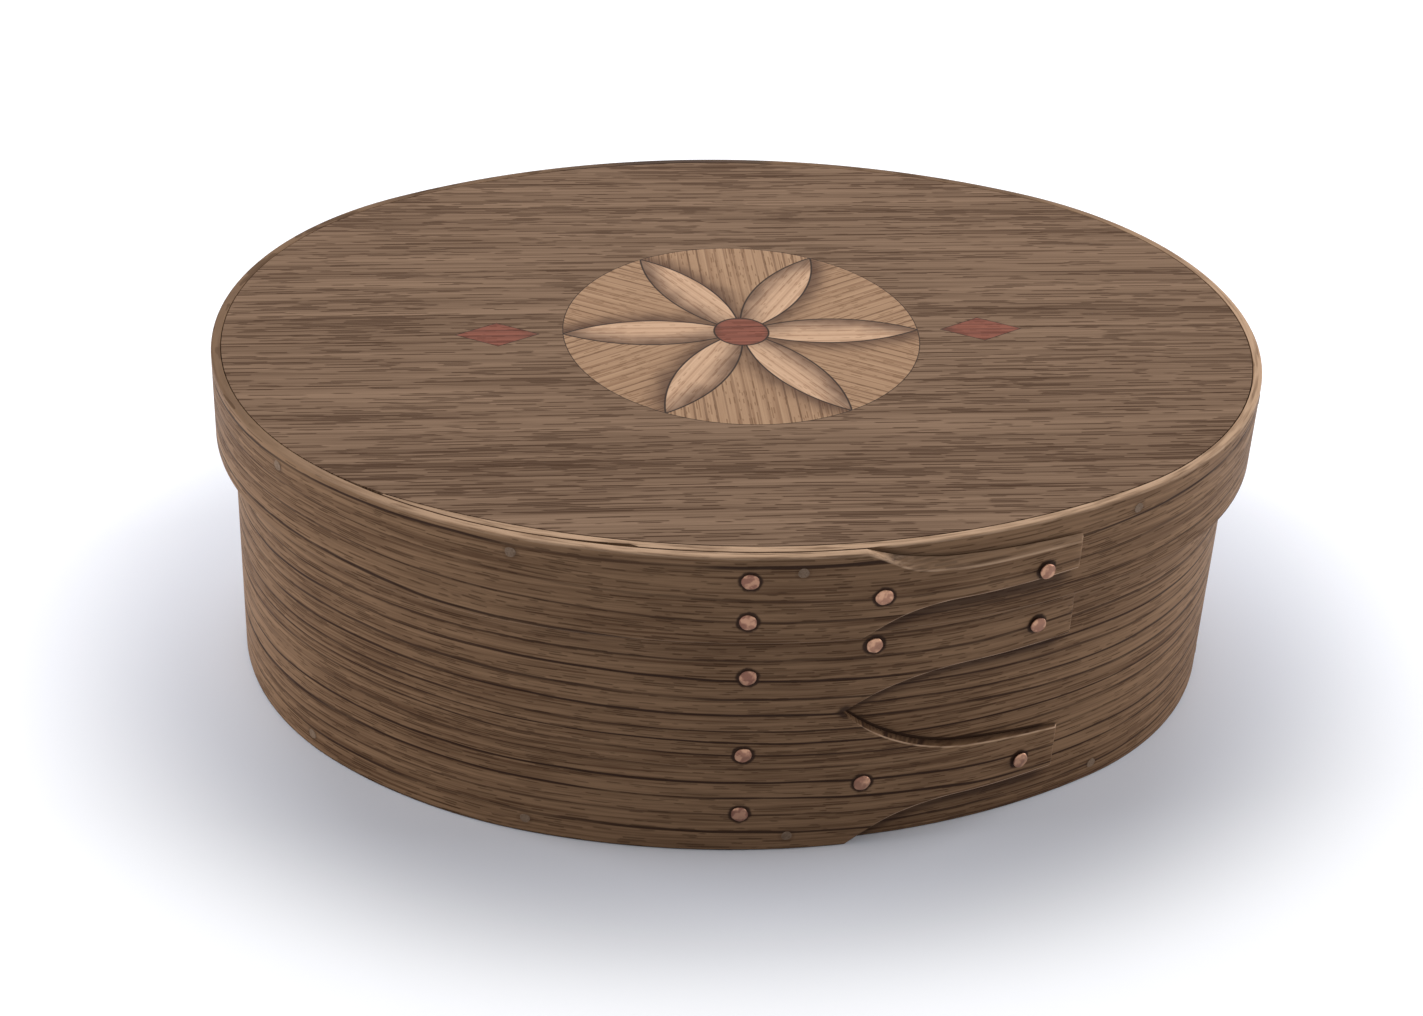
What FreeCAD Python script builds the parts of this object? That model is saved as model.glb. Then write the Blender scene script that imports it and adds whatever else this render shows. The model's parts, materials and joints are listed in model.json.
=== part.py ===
import FreeCAD, Part
import enum
import math
import os

import Sketcher

# Driving sizes, millimetres. The plan of the base board is an oval of four tangent arcs.
# Its centre is the origin, X runs along the box, the laps face -Y and Z = 0 is the underside.
SIZES = {
    # Plan of the base board
    "board_length": 200.0,
    "board_width": 147.5,
    "end_radius": 64.5,
    # Box band: a bent strip whose free end lies outside its feathered start
    "band_height": 64.6,
    "band_thick": 1.9,
    "lap_gap": 0.1,
    "ramp_radius": 95.0,
    "feather_lead": 3.5,
    # Lid band
    "lid_band_height": 18.7,
    "lid_band_thick": 1.9,
    "lid_fit": 0.3,
    "lid_ramp_radius": 95.0,
    "lid_feather_lead": 3.3,
    # Boards
    "base_thick": 6.4,
    "lid_board_thick": 6.4,
    "board_fit": 0.05,
    # Swallowtail fingers of the box band, as seen from the front
    "valley_reach": 12.4,
    "root_reach": 15.2,
    "waist_reach": 38.0,
    "tip_reach": 58.2,
    "waist_width": 12.6,
    "tip_width": 10.2,
    "finger_droop": 3.3,
    # Swallowtail finger of the lid band
    "lid_root_reach": 14.0,
    "lid_waist_reach": 33.0,
    "lid_tip_reach": 56.6,
    "lid_waist_width": 9.2,
    "lid_tip_width": 7.6,
    "lid_finger_rise": 1.4,
    "lid_finger_droop": 0.5,
    # Copper tacks
    "tack_head_radius": 1.75,
    "tack_rim": 0.25,
    "tack_sink": 0.15,
    "tack_dome": 0.35,
    "tack_neck_radius": 0.62,
    "tack_point_radius": 0.42,
    "clinch_bend_radius": 0.47,
    "clinch_length": 2.4,
    "clinch_end_radius": 0.18,
    "clinch_proud": 0.1,
    "tack_root_arc": -5.7,
    "tack_middle_arc": 17.6,
    "tack_tip_arc": 51.2,
    "tack_root_pitch": 14.2,
    "lid_tack_root_arc": -7.0,
    "lid_tack_middle_arc": 17.6,
    "lid_tack_tip_arc": 50.0,
    "lid_tack_root_pitch": 8.8,
    "lid_tack_drop": 0.1,
    # Wooden pegs
    "peg_radius": 1.1,
    "peg_length": 9.0,
    "peg_proud": 0.04,
    "peg_first_arc": 3.6,
    "peg_last_arc": 70.5,
    "base_peg_height": 3.4,
    "lid_peg_first_arc": 2.4,
    "lid_peg_drop": 3.3,
    # Inlay of the lid board
    "inlay_depth": 1.6,
    "rosette_radius": 36.0,
    "hub_radius": 5.5,
    "lozenge_centre": 49.0,
    "lozenge_length": 17.0,
    "lozenge_width": 9.5,
}

# Counts
BASE_PEGS = 11
LID_PEGS = 11
PETALS = 6

doc = FreeCAD.newDocument("oval_box")
sheet = doc.addObject("Spreadsheet::Sheet", "sizes")
for row, (alias, value) in enumerate(SIZES.items(), start=1):
    sheet.set(f"A{row}", str(value))
    sheet.setAlias(f"A{row}", alias)
doc.recompute()


def size(alias):
    """The number that the sheet holds under this alias."""
    return float(sheet.get(alias))


def evaluate(expression):
    """The value of an expression on the sheet."""
    return float(sheet.evalExpression(expression))


# Expressions on the sheet that several pieces share
A = "(sizes.board_length / 2)"
B = "(sizes.board_width / 2)"
R = "sizes.end_radius"
END_X = f"({A} - {R})"
SIDE_Y = f"(({A} - {B}) * ({A} + {B} - 2 * {R}) / (2 * ({B} - {R})))"
SIDE_R = f"({SIDE_Y} + {B})"
LAP = "(sizes.band_thick + sizes.lap_gap)"
LID_LAP = "(sizes.lid_band_thick + sizes.lap_gap)"
# The lid clears the band at the back, and the tack heads on the lap at the front, by the same fit
RIM_PROUD = "(sizes.tack_rim - sizes.tack_sink)"
LID_SHIFT = f"(({LAP} + {RIM_PROUD} + sizes.tack_dome) / 2)"
LID_OFFSET = f"(sizes.band_thick + sizes.lid_fit + {LID_SHIFT})"
BOARD_FIT = "(sizes.board_fit + sizes.clinch_proud)"
TOP_Z = "(sizes.band_height + sizes.lid_board_thick)"
LID_Z = f"({TOP_Z} - sizes.lid_band_height)"

# The same values as numbers, for start points of sketches and for places round the oval
end_radius = size("end_radius")
end_x = evaluate(END_X)
side_y = evaluate(SIDE_Y)
side_radius = evaluate(SIDE_R)
join_angle = math.degrees(math.atan2(end_x, side_y))
lid_shift = evaluate(LID_SHIFT)
lid_offset = evaluate(LID_OFFSET)
top_z = evaluate(TOP_Z)
lid_z = evaluate(LID_Z)


class Axis(enum.IntEnum):
    """The axes of a sketch, as its constraints number them."""

    X = -1
    Y = -2


class Spot(enum.IntEnum):
    """The points of a line or an arc, as constraints number them."""

    START = 1
    END = 2
    CENTRE = 3


START, END, CENTRE = Spot
ORIGIN = (Axis.X, START)


def new_body(name):
    """An empty body whose label names the sub-part."""
    body = doc.addObject("PartDesign::Body", name)
    body.Label = name
    return body


def new_sketch(body, name, role, height=None):
    """A sketch on one of the body's own origin planes, raised by an expression where one is given."""
    sketch = body.newObject("Sketcher::SketchObject", name)
    plane = next(item for item in body.Origin.OriginFeatures if item.Role == role)
    sketch.AttachmentSupport = (plane, [""])
    sketch.MapMode = "FlatFace"
    if height:
        sketch.setExpression("AttachmentOffset.Base.z", height)
    return sketch


def bind(sketch, kind, *parts, to):
    """Add a dimension of this kind and tie it to an expression."""
    index = sketch.addConstraint(Sketcher.Constraint(kind, *parts, evaluate(to)))
    sketch.setExpression(f"Constraints[{index}]", to)


def rule(sketch, kind, *parts):
    """Add a constraint that has no dimension."""
    sketch.addConstraint(Sketcher.Constraint(kind, *parts))


def add_arc(sketch, centre, radius, start, end):
    """Add an arc, counter-clockwise from one angle in degrees to the other."""
    circle = Part.Circle(FreeCAD.Vector(*centre, 0), FreeCAD.Vector(0, 0, 1), radius)
    return sketch.addGeometry(Part.ArcOfCircle(circle, math.radians(start), math.radians(end)), False)


def add_line(sketch, first, second):
    """Add a line between two ends that exist, each a pair of geometry and point, and join it to them."""
    points = [sketch.getPoint(*end) for end in (first, second)]
    line = sketch.addGeometry(Part.LineSegment(*points), False)
    rule(sketch, "Coincident", line, START, *first)
    rule(sketch, "Coincident", line, END, *second)
    return line


def end_centre(sketch, arc, side):
    """Hold the centre of an end arc on the X axis, on the side given as -1 or 1."""
    rule(sketch, "PointOnObject", arc, CENTRE, Axis.X)
    if side > 0:
        bind(sketch, "DistanceX", *ORIGIN, arc, CENTRE, to=END_X)
    else:
        bind(sketch, "DistanceX", arc, CENTRE, *ORIGIN, to=END_X)


def side_centre(sketch, arc, side):
    """Hold the centre of a side arc on the Y axis. The front arc, side -1, has its centre behind."""
    rule(sketch, "PointOnObject", arc, CENTRE, Axis.Y)
    if side < 0:
        bind(sketch, "DistanceY", *ORIGIN, arc, CENTRE, to=SIDE_Y)
    else:
        bind(sketch, "DistanceY", arc, CENTRE, *ORIGIN, to=SIDE_Y)


def oval(sketch, offset):
    """Draw the board's oval, moved outwards by an offset."""
    radius = end_radius + evaluate(offset)
    wide = side_radius + evaluate(offset)
    right = add_arc(sketch, (end_x, 0), radius, join_angle - 90, 90 - join_angle)
    back = add_arc(sketch, (0, -side_y), wide, 90 - join_angle, 90 + join_angle)
    left = add_arc(sketch, (-end_x, 0), radius, 90 + join_angle, 270 - join_angle)
    front = add_arc(sketch, (0, side_y), wide, 270 - join_angle, 270 + join_angle)
    end_centre(sketch, right, 1)
    end_centre(sketch, left, -1)
    side_centre(sketch, front, -1)
    bind(sketch, "DistanceY", back, CENTRE, *ORIGIN, to=SIDE_Y)
    bind(sketch, "Radius", right, to=f"{R} + {offset}")
    arcs = (right, back, left, front)
    for a, b in zip(arcs, arcs[1:] + arcs[:1]):
        rule(sketch, "Tangent", a, END, b, START)


def ramp_frame(offset, thick, ramp):
    """Centre and tangent angles of the ramp arc, where the outer layer climbs on the inner one."""
    near = ramp - (end_radius + offset)
    far = side_radius + offset + thick + size("lap_gap") - ramp
    apart = math.hypot(end_x, side_y)
    turn = math.acos((near ** 2 + apart ** 2 - far ** 2) / (2 * near * apart))
    back_turn = math.acos((far ** 2 + apart ** 2 - near ** 2) / (2 * far * apart))
    first = 270 - join_angle - math.degrees(turn)
    last = 270 - join_angle + math.degrees(back_turn)
    centre = (-end_x - near * math.cos(math.radians(first)), -near * math.sin(math.radians(first)))
    return centre, first, last


def lap_layer(sketch, offset, thick, ramp, tip):
    """Plan of the outer layer, from the left end of the oval up the ramp to the finger tips."""
    offset_value, thick_value, ramp_value, tip_value = map(evaluate, (offset, thick, ramp, tip))
    centre, first, last = ramp_frame(offset_value, thick_value, ramp_value)
    lap_value = thick_value + size("lap_gap")
    paths = []
    for depth in (0, thick_value):
        wide = side_radius + offset_value + lap_value + depth
        reach = 270 + math.degrees(math.asin(tip_value / wide))
        paths.append((
            add_arc(sketch, (-end_x, 0), end_radius + offset_value + depth, 180, first),
            add_arc(sketch, centre, ramp_value + depth, first, last),
            add_arc(sketch, (0, side_y), wide, last, reach),
        ))
    for end, slope, side in paths:
        rule(sketch, "Tangent", end, END, slope, START)
        rule(sketch, "Tangent", slope, END, side, START)
        rule(sketch, "PointOnObject", end, START, Axis.X)
        bind(sketch, "DistanceX", *ORIGIN, side, END, to=tip)
    inner, outer = paths
    end_centre(sketch, inner[0], -1)
    side_centre(sketch, inner[2], -1)
    bind(sketch, "Radius", inner[0], to=f"{R} + {offset}")
    bind(sketch, "Radius", inner[1], to=ramp)
    bind(sketch, "Radius", inner[2], to=f"{SIDE_R} + {offset} + {thick} + sizes.lap_gap")
    bind(sketch, "Radius", outer[0], to=f"{R} + {offset} + {thick}")
    for a, b in zip(inner, outer):
        rule(sketch, "Coincident", a, CENTRE, b, CENTRE)
    add_line(sketch, (inner[0], START), (outer[0], START))
    add_line(sketch, (inner[2], END), (outer[2], END))


def ring_layer(sketch, offset, thick, ramp, lead):
    """Plan of the rest of the strip, from its feathered start under the lap round to the left end."""
    offset_value, thick_value, ramp_value, lead_value = map(evaluate, (offset, thick, ramp, lead))
    centre, _, last = ramp_frame(offset_value, thick_value, ramp_value)
    inside = end_radius + offset_value
    begin = 270 - join_angle - math.degrees(2 * math.asin(lead_value / 2 / inside))
    reach = end_x - inside * math.cos(math.radians(begin))
    paths = []
    for depth in (0, thick_value):
        radius = end_radius + offset_value + depth
        wide = side_radius + offset_value + depth
        if depth:
            slope = ramp_value - size("lap_gap")
            start = 180 + math.degrees(math.acos((reach + centre[0]) / slope))
            under = add_arc(sketch, centre, slope, start, last)
            front_from = last
        else:
            under = add_arc(sketch, (-end_x, 0), radius, begin, 270 - join_angle)
            front_from = 270 - join_angle
        paths.append((
            under,
            add_arc(sketch, (0, side_y), wide, front_from, 270 + join_angle),
            add_arc(sketch, (end_x, 0), radius, join_angle - 90, 90 - join_angle),
            add_arc(sketch, (0, -side_y), wide, 90 - join_angle, 90 + join_angle),
            add_arc(sketch, (-end_x, 0), radius, 90 + join_angle, 180),
        ))
    inner, outer = paths
    for path in paths:
        for a, b in zip(path, path[1:]):
            rule(sketch, "Tangent", a, END, b, START)
        rule(sketch, "PointOnObject", path[4], END, Axis.X)
    side_centre(sketch, inner[1], -1)
    end_centre(sketch, inner[2], 1)
    side_centre(sketch, inner[3], 1)
    end_centre(sketch, inner[4], -1)
    rule(sketch, "Coincident", inner[0], CENTRE, inner[4], CENTRE)
    bind(sketch, "Radius", inner[4], to=f"{R} + {offset}")
    for a, b in zip(inner[1:], outer[1:]):
        rule(sketch, "Coincident", a, CENTRE, b, CENTRE)
    bind(sketch, "Radius", outer[4], to=f"{R} + {offset} + {thick}")
    bind(sketch, "Radius", outer[0], to=f"{ramp} - sizes.lap_gap")
    bind(sketch, "Distance", outer[0], CENTRE, inner[4], CENTRE, to=f"{ramp} - ({R} + {offset})")
    bind(sketch, "Distance", inner[0], START, inner[0], END, to=lead)
    cap = add_line(sketch, (inner[0], START), (outer[0], START))
    rule(sketch, "Vertical", cap)
    add_line(sketch, (inner[4], END), (outer[4], END))


class Corner:
    """A point of a finger sketch: two expressions and the numbers they start from."""

    def __init__(self, x, z):
        """Keep both expressions and work out their values from the sheet."""
        self.x = x
        self.z = z
        self.place = (evaluate(x), evaluate(z))


def finger_edge(sketch, root, waist, tip, rises):
    """One long edge of a finger: an arc from the root that runs into a straight line to the tip."""
    edge = Part.LineSegment(FreeCAD.Vector(*waist.place, 0), FreeCAD.Vector(*tip.place, 0))
    line = sketch.addGeometry(edge, False)
    slope = (tip.place[1] - waist.place[1]) / (tip.place[0] - waist.place[0])
    normal = (-slope, 1.0)
    run = (root.place[0] - waist.place[0], root.place[1] - waist.place[1])
    scale = (run[0] ** 2 + run[1] ** 2) / (2 * (run[0] * normal[0] + run[1] * normal[1]))
    centre = (waist.place[0] + scale * normal[0], waist.place[1] + scale * normal[1])
    radius = abs(scale) * math.hypot(*normal)
    angles = [math.degrees(math.atan2(corner.place[1] - centre[1], corner.place[0] - centre[0]))
              for corner in (root, waist)]
    if rises:
        arc = add_arc(sketch, centre, radius, angles[1], angles[0])
        arc_root, arc_waist = END, START
    else:
        arc = add_arc(sketch, centre, radius, angles[0], angles[1])
        arc_root, arc_waist = START, END
    rule(sketch, "Tangent", arc, arc_waist, line, START)
    for geometry, point, corner in ((arc, arc_root, root), (line, START, waist), (line, END, tip)):
        hold(sketch, geometry, point, corner)
    return (arc, arc_root), (line, END)


def hold(sketch, geometry, point, corner):
    """Tie a point of the sketch to both expressions of a corner."""
    x, z = corner.place
    if x >= 0:
        bind(sketch, "DistanceX", *ORIGIN, geometry, point, to=corner.x)
    else:
        bind(sketch, "DistanceX", geometry, point, *ORIGIN, to=f"-({corner.x})")
    if z >= 0:
        bind(sketch, "DistanceY", *ORIGIN, geometry, point, to=corner.z)
    else:
        bind(sketch, "DistanceY", geometry, point, *ORIGIN, to=f"-({corner.z})")


def free_corner(sketch, first, corner):
    """A line from an end that exists to a new corner."""
    start = sketch.getPoint(*first)
    line = sketch.addGeometry(Part.LineSegment(start, FreeCAD.Vector(*corner.place, 0)), False)
    rule(sketch, "Coincident", line, START, *first)
    hold(sketch, line, END, corner)
    return (line, END)


def outside_cut(sketch, root, waist, tip, beyond, edge, above):
    """Outline of the wood that is cut away between a finger and the band's own edge."""
    arc_end, line_end = finger_edge(sketch, root, waist, tip, rises=not above)
    outer = free_corner(sketch, line_end, Corner(beyond, tip.z))
    outer = free_corner(sketch, outer, Corner(beyond, edge))
    outer = free_corner(sketch, outer, Corner(root.x, edge))
    add_line(sketch, outer, arc_end)


def cut_fingers(body, name, profile):
    """Cut a profile drawn on the front plane right through what the body holds so far."""
    sketch = new_sketch(body, name + "_outline", "XZ_Plane")
    profile(sketch)
    doc.recompute()
    before = body.Shape.Volume
    pocket = body.newObject("PartDesign::Pocket", name)
    pocket.Profile = sketch
    pocket.Type = "ThroughAll"
    pocket.SideType = "Symmetric"
    doc.recompute()
    print(name, "cuts", round(before - body.Shape.Volume, 2))


def pad(body, name, draw, height, start=None):
    """Pad a plan sketch upwards by an expression."""
    sketch = new_sketch(body, name + "_plan", "XY_Plane", start)
    draw(sketch)
    feature = body.newObject("PartDesign::Pad", name)
    feature.Profile = sketch
    feature.setExpression("Length", height)
    doc.recompute()
    return feature


def box_fingers(sketch):
    """Three cuts that leave two swallowtail fingers, whose tips droop a little."""
    valley = Corner("sizes.valley_reach", "sizes.band_height / 2")
    half_waist = "sizes.waist_width / 2"
    half_tip = "sizes.tip_width / 2"
    beyond = "sizes.tip_reach + sizes.band_thick"
    share = "(sizes.waist_reach / sizes.tip_reach)"

    def corners(quarter, side):
        centre = f"sizes.band_height * {quarter} / 4"
        waist = Corner("sizes.waist_reach",
                       f"{centre} - sizes.finger_droop * {share} {side} {half_waist}")
        tip = Corner("sizes.tip_reach", f"{centre} - sizes.finger_droop {side} {half_tip}")
        return waist, tip

    low_edge = f"-{half_tip}"
    high_edge = f"sizes.band_height + {half_tip}"
    low_root = Corner("sizes.root_reach", "0")
    high_root = Corner("sizes.root_reach", "sizes.band_height")
    outside_cut(sketch, low_root, *corners(1, "-"), beyond, low_edge, above=False)
    outside_cut(sketch, high_root, *corners(3, "+"), beyond, high_edge, above=True)
    lower_arc, lower_tip = finger_edge(sketch, valley, *corners(1, "+"), rises=False)
    upper_arc, upper_tip = finger_edge(sketch, valley, *corners(3, "-"), rises=True)
    side = free_corner(sketch, lower_tip, Corner(beyond, corners(1, "+")[1].z))
    side = free_corner(sketch, side, Corner(beyond, corners(3, "-")[1].z))
    add_line(sketch, side, upper_tip)


def lid_finger(sketch):
    """Two cuts that leave one swallowtail finger."""
    centre = "(sizes.lid_band_height / 2 + sizes.lid_finger_rise)"
    beyond = "sizes.lid_tip_reach + sizes.lid_band_thick"
    share = "(sizes.lid_waist_reach / sizes.lid_tip_reach)"
    for side, edge, rim, above in (
        ("-", "0", "-sizes.lid_tip_width / 2", False),
        ("+", "sizes.lid_band_height", "sizes.lid_band_height + sizes.lid_tip_width / 2", True),
    ):
        waist = Corner("sizes.lid_waist_reach",
                       f"{centre} - sizes.lid_finger_droop * {share} {side} sizes.lid_waist_width / 2")
        tip = Corner("sizes.lid_tip_reach",
                     f"{centre} - sizes.lid_finger_droop {side} sizes.lid_tip_width / 2")
        outside_cut(sketch, Corner("sizes.lid_root_reach", edge), waist, tip, beyond, rim, above)


def bent_band(name, offset, thick, height, ramp, lead, tip, profile):
    """A strip bent round the oval, its outer end cut to fingers before the inner layer is added."""
    body = new_body(name)

    def lap_plan(sketch):
        lap_layer(sketch, offset, thick, ramp, tip)

    def inner_plan(sketch):
        ring_layer(sketch, offset, thick, ramp, lead)

    pad(body, name + "_lap_layer", lap_plan, height)
    cut_fingers(body, name + "_fingers", profile)
    inner_layer = pad(body, name + "_inner_layer", inner_plan, height)
    inner_layer.Refine = False
    doc.recompute()
    return body


box_strip = bent_band("box_strip", "0", "sizes.band_thick", "sizes.band_height",
                      "sizes.ramp_radius", "sizes.feather_lead", "sizes.tip_reach", box_fingers)
lid_strip = bent_band("lid_strip", LID_OFFSET, "sizes.lid_band_thick", "sizes.lid_band_height",
                      "sizes.lid_ramp_radius", "sizes.lid_feather_lead", "sizes.lid_tip_reach",
                      lid_finger)
lid_strip.setExpression("Placement.Base.y", f"-{LID_SHIFT}")
lid_strip.setExpression("Placement.Base.z", LID_Z)
doc.recompute()


# Copper tacks
class Surface:
    """The outer face of a lap on the front side arc, where tacks and pegs go in."""

    def __init__(self, radius, centre_y):
        """Keep the face's radius and the Y of its centre."""
        self.radius = radius
        self.centre_y = centre_y

    def place(self, arc, height):
        """Placement whose local Z points out of the face at an arc length from the front centre."""
        angle = arc / self.radius
        x = self.radius * math.sin(angle)
        y = self.centre_y - self.radius * math.cos(angle)
        turn = FreeCAD.Rotation(FreeCAD.Vector(0, 0, 1), math.degrees(angle))
        out = turn * FreeCAD.Rotation(FreeCAD.Vector(1, 0, 0), 90)
        return FreeCAD.Placement(FreeCAD.Vector(x, y, height), out)


def tack(name, placement, depth):
    """A copper tack, its head's rim sunk in the lap and its point clinched along the inner face."""
    clinch_z = f"sizes.clinch_bend_radius - sizes.clinch_proud - {depth}"
    rim = doc.addObject("Part::Cylinder", name + "_rim")
    rim.setExpression("Radius", "sizes.tack_head_radius")
    rim.setExpression("Height", "sizes.tack_rim")
    rim.setExpression("Placement.Base.z", "-sizes.tack_sink")
    dome = doc.addObject("Part::Sphere", name + "_dome")
    ball = "((sizes.tack_head_radius^2 + sizes.tack_dome^2) / (2 * sizes.tack_dome))"
    dome.setExpression("Radius", ball)
    dome.setExpression("Angle1", f"asin(({ball} - sizes.tack_dome) / {ball})")
    dome.setExpression("Placement.Base.z", f"{RIM_PROUD} + sizes.tack_dome - {ball}")
    shank = doc.addObject("Part::Cone", name + "_shank")
    shank.setExpression("Radius1", "sizes.tack_point_radius")
    shank.setExpression("Radius2", "sizes.tack_neck_radius")
    shank.setExpression("Height", f"-sizes.tack_sink / 2 - ({clinch_z})")
    shank.setExpression("Placement.Base.z", clinch_z)
    clinch = doc.addObject("Part::Cone", name + "_clinch")
    clinch.setExpression("Radius1", "sizes.tack_point_radius")
    clinch.setExpression("Radius2", "sizes.clinch_end_radius")
    clinch.setExpression("Height", "sizes.clinch_length")
    clinch.Placement.Rotation = FreeCAD.Rotation(FreeCAD.Vector(0, 1, 0), -90)
    clinch.setExpression("Placement.Base.z", clinch_z)
    elbow = doc.addObject("Part::Sphere", name + "_elbow")
    elbow.setExpression("Radius", "sizes.clinch_bend_radius")
    elbow.setExpression("Placement.Base.z", clinch_z)
    whole = doc.addObject("Part::MultiFuse", name)
    whole.Shapes = [rim, dome, shank, elbow, clinch]
    whole.Placement = placement
    return whole


def group(name, members):
    """Separate solids that share one node."""
    compound = doc.addObject("Part::Compound", name)
    compound.Label = name
    compound.Links = members
    return compound


def finger_tacks(name, face, depth, centre, droop, pitch, arcs):
    """Four tacks of one finger: two at the root, one at its middle and one at its tip."""
    root, middle, tip = map(size, arcs)
    spots = [(root, centre - pitch / 2), (root, centre + pitch / 2),
             (middle, centre - droop * middle / tip), (tip, centre - droop)]
    members = [tack(f"{name}_{index}", face.place(arc, height), depth)
               for index, (arc, height) in enumerate(spots, start=1)]
    return group(name, members)


BOX_DEPTH = f"(sizes.band_thick + {LAP})"
LID_DEPTH = f"(sizes.lid_band_thick + {LID_LAP})"
box_lap_face = Surface(side_radius + evaluate(BOX_DEPTH), side_y)
lid_lap_face = Surface(side_radius + lid_offset + evaluate(LID_DEPTH), side_y - lid_shift)
BOX_ARCS = ("tack_root_arc", "tack_middle_arc", "tack_tip_arc")
LID_ARCS = ("lid_tack_root_arc", "lid_tack_middle_arc", "lid_tack_tip_arc")
lower_tacks = finger_tacks("lower_finger_tacks", box_lap_face, BOX_DEPTH, size("band_height") / 4,
                           size("finger_droop"), size("tack_root_pitch"), BOX_ARCS)
upper_tacks = finger_tacks("upper_finger_tacks", box_lap_face, BOX_DEPTH, size("band_height") * 3 / 4,
                           size("finger_droop"), size("tack_root_pitch"), BOX_ARCS)
lid_tack_line = lid_z + size("lid_band_height") / 2 - size("lid_tack_drop")
lid_tacks = finger_tacks("lid_finger_tacks", lid_lap_face, LID_DEPTH, lid_tack_line,
                         size("lid_finger_droop"), size("lid_tack_root_pitch"), LID_ARCS)


# Wooden pegs
def oval_place(offset, arc, centre_y):
    """Point and outward angle on an offset oval, at an arc length from the front centre."""
    wide = side_radius + offset
    radius = end_radius + offset
    side_arc = math.radians(join_angle) * wide
    end_arc = math.radians(180 - 2 * join_angle) * radius
    whole = 4 * side_arc + 2 * end_arc
    arc = (arc + side_arc) % whole
    if arc <= 2 * side_arc:
        angle = -90 - join_angle + math.degrees(arc / wide)
        centre = (0, side_y)
    elif arc <= 2 * side_arc + end_arc:
        angle = join_angle - 90 + math.degrees((arc - 2 * side_arc) / radius)
        centre = (end_x, 0)
    elif arc <= 4 * side_arc + end_arc:
        angle = 90 - join_angle + math.degrees((arc - 2 * side_arc - end_arc) / wide)
        centre = (0, -side_y)
    else:
        angle = 90 + join_angle + math.degrees((arc - 4 * side_arc - end_arc) / radius)
        centre = (-end_x, 0)
    out = wide if centre[0] == 0 else radius
    x = centre[0] + out * math.cos(math.radians(angle))
    y = centre[1] + out * math.sin(math.radians(angle)) + centre_y
    return x, y, angle, whole


def pegs(name, count, offset, lap_thick, centre_y, height, first):
    """Wooden pegs driven through the band into the board's edge and sanded flush."""
    last = size("peg_last_arc")
    whole = oval_place(offset, 0, centre_y)[3]
    step = (whole - last + first) / (count - 1)
    members = []
    for index in range(count):
        arc = first - index * step
        length = "sizes.peg_length"
        if -size("tip_reach") < arc < size("tip_reach"):
            length += f" + {lap_thick}"
        x, y, angle, _ = oval_place(offset, arc, centre_y)
        out = FreeCAD.Vector(math.cos(math.radians(angle)), math.sin(math.radians(angle)), 0)
        peg = doc.addObject("Part::Cylinder", f"{name}_{index + 1}")
        peg.setExpression("Radius", "sizes.peg_radius")
        peg.setExpression("Height", length)
        base = FreeCAD.Vector(x, y, height) + out * (size("peg_proud") - size("peg_length"))
        peg.Placement = FreeCAD.Placement(base, FreeCAD.Rotation(FreeCAD.Vector(0, 0, 1), out))
        members.append(peg)
    return group(name, members)


base_pegs = pegs("base_pegs", BASE_PEGS, size("band_thick"), LAP, 0, size("base_peg_height"),
                 size("peg_first_arc"))
lid_pegs = pegs("lid_pegs", LID_PEGS, lid_offset + size("lid_band_thick"), LID_LAP, -lid_shift,
                top_z - size("lid_peg_drop"), size("lid_peg_first_arc"))


# Boards
base_blank = new_body("base_blank")
pad(base_blank, "base_board_pad", lambda sketch: oval(sketch, f"-{BOARD_FIT}"), "sizes.base_thick")

lid_blank = new_body("lid_blank")
pad(lid_blank, "lid_board_pad", lambda sketch: oval(sketch, f"{LID_OFFSET} - {BOARD_FIT}"),
    "sizes.lid_board_thick")


def recess(sketch):
    """Outline of the inlay's shallow bed: one disc and two lozenges."""
    circle = Part.Circle(FreeCAD.Vector(0, 0, 0), FreeCAD.Vector(0, 0, 1), size("rosette_radius"))
    disc = sketch.addGeometry(circle, False)
    rule(sketch, "Coincident", disc, CENTRE, *ORIGIN)
    bind(sketch, "Radius", disc, to="sizes.rosette_radius")
    for side in (-1, 1):
        lozenge(sketch, side)


def lozenge(sketch, side):
    """A four-sided diamond beside the disc, on the left for side -1 and on the right for side 1."""
    half_long = size("lozenge_length") / 2
    half_wide = size("lozenge_width") / 2
    centre = side * size("lozenge_centre")
    points = [(centre - half_long, 0), (centre, -half_wide),
              (centre + half_long, 0), (centre, half_wide)]
    lines = [sketch.addGeometry(Part.LineSegment(FreeCAD.Vector(*a, 0), FreeCAD.Vector(*b, 0)), False)
             for a, b in zip(points, points[1:] + points[:1])]
    for a, b in zip(lines, lines[1:] + lines[:1]):
        rule(sketch, "Coincident", a, END, b, START)
    rule(sketch, "PointOnObject", lines[0], START, Axis.X)
    rule(sketch, "PointOnObject", lines[1], END, Axis.X)
    bind(sketch, "DistanceX", lines[0], START, lines[1], END, to="sizes.lozenge_length")
    bind(sketch, "DistanceX", lines[0], START, lines[0], END, to="sizes.lozenge_length / 2")
    bind(sketch, "DistanceX", lines[3], START, lines[1], END, to="sizes.lozenge_length / 2")
    bind(sketch, "DistanceY", lines[0], END, lines[3], START, to="sizes.lozenge_width")
    bind(sketch, "DistanceY", lines[0], END, *ORIGIN, to="sizes.lozenge_width / 2")
    inner = "sizes.lozenge_centre - sizes.lozenge_length / 2"
    if side > 0:
        bind(sketch, "DistanceX", *ORIGIN, lines[0], START, to=inner)
    else:
        bind(sketch, "DistanceX", lines[1], END, *ORIGIN, to=inner)


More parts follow.
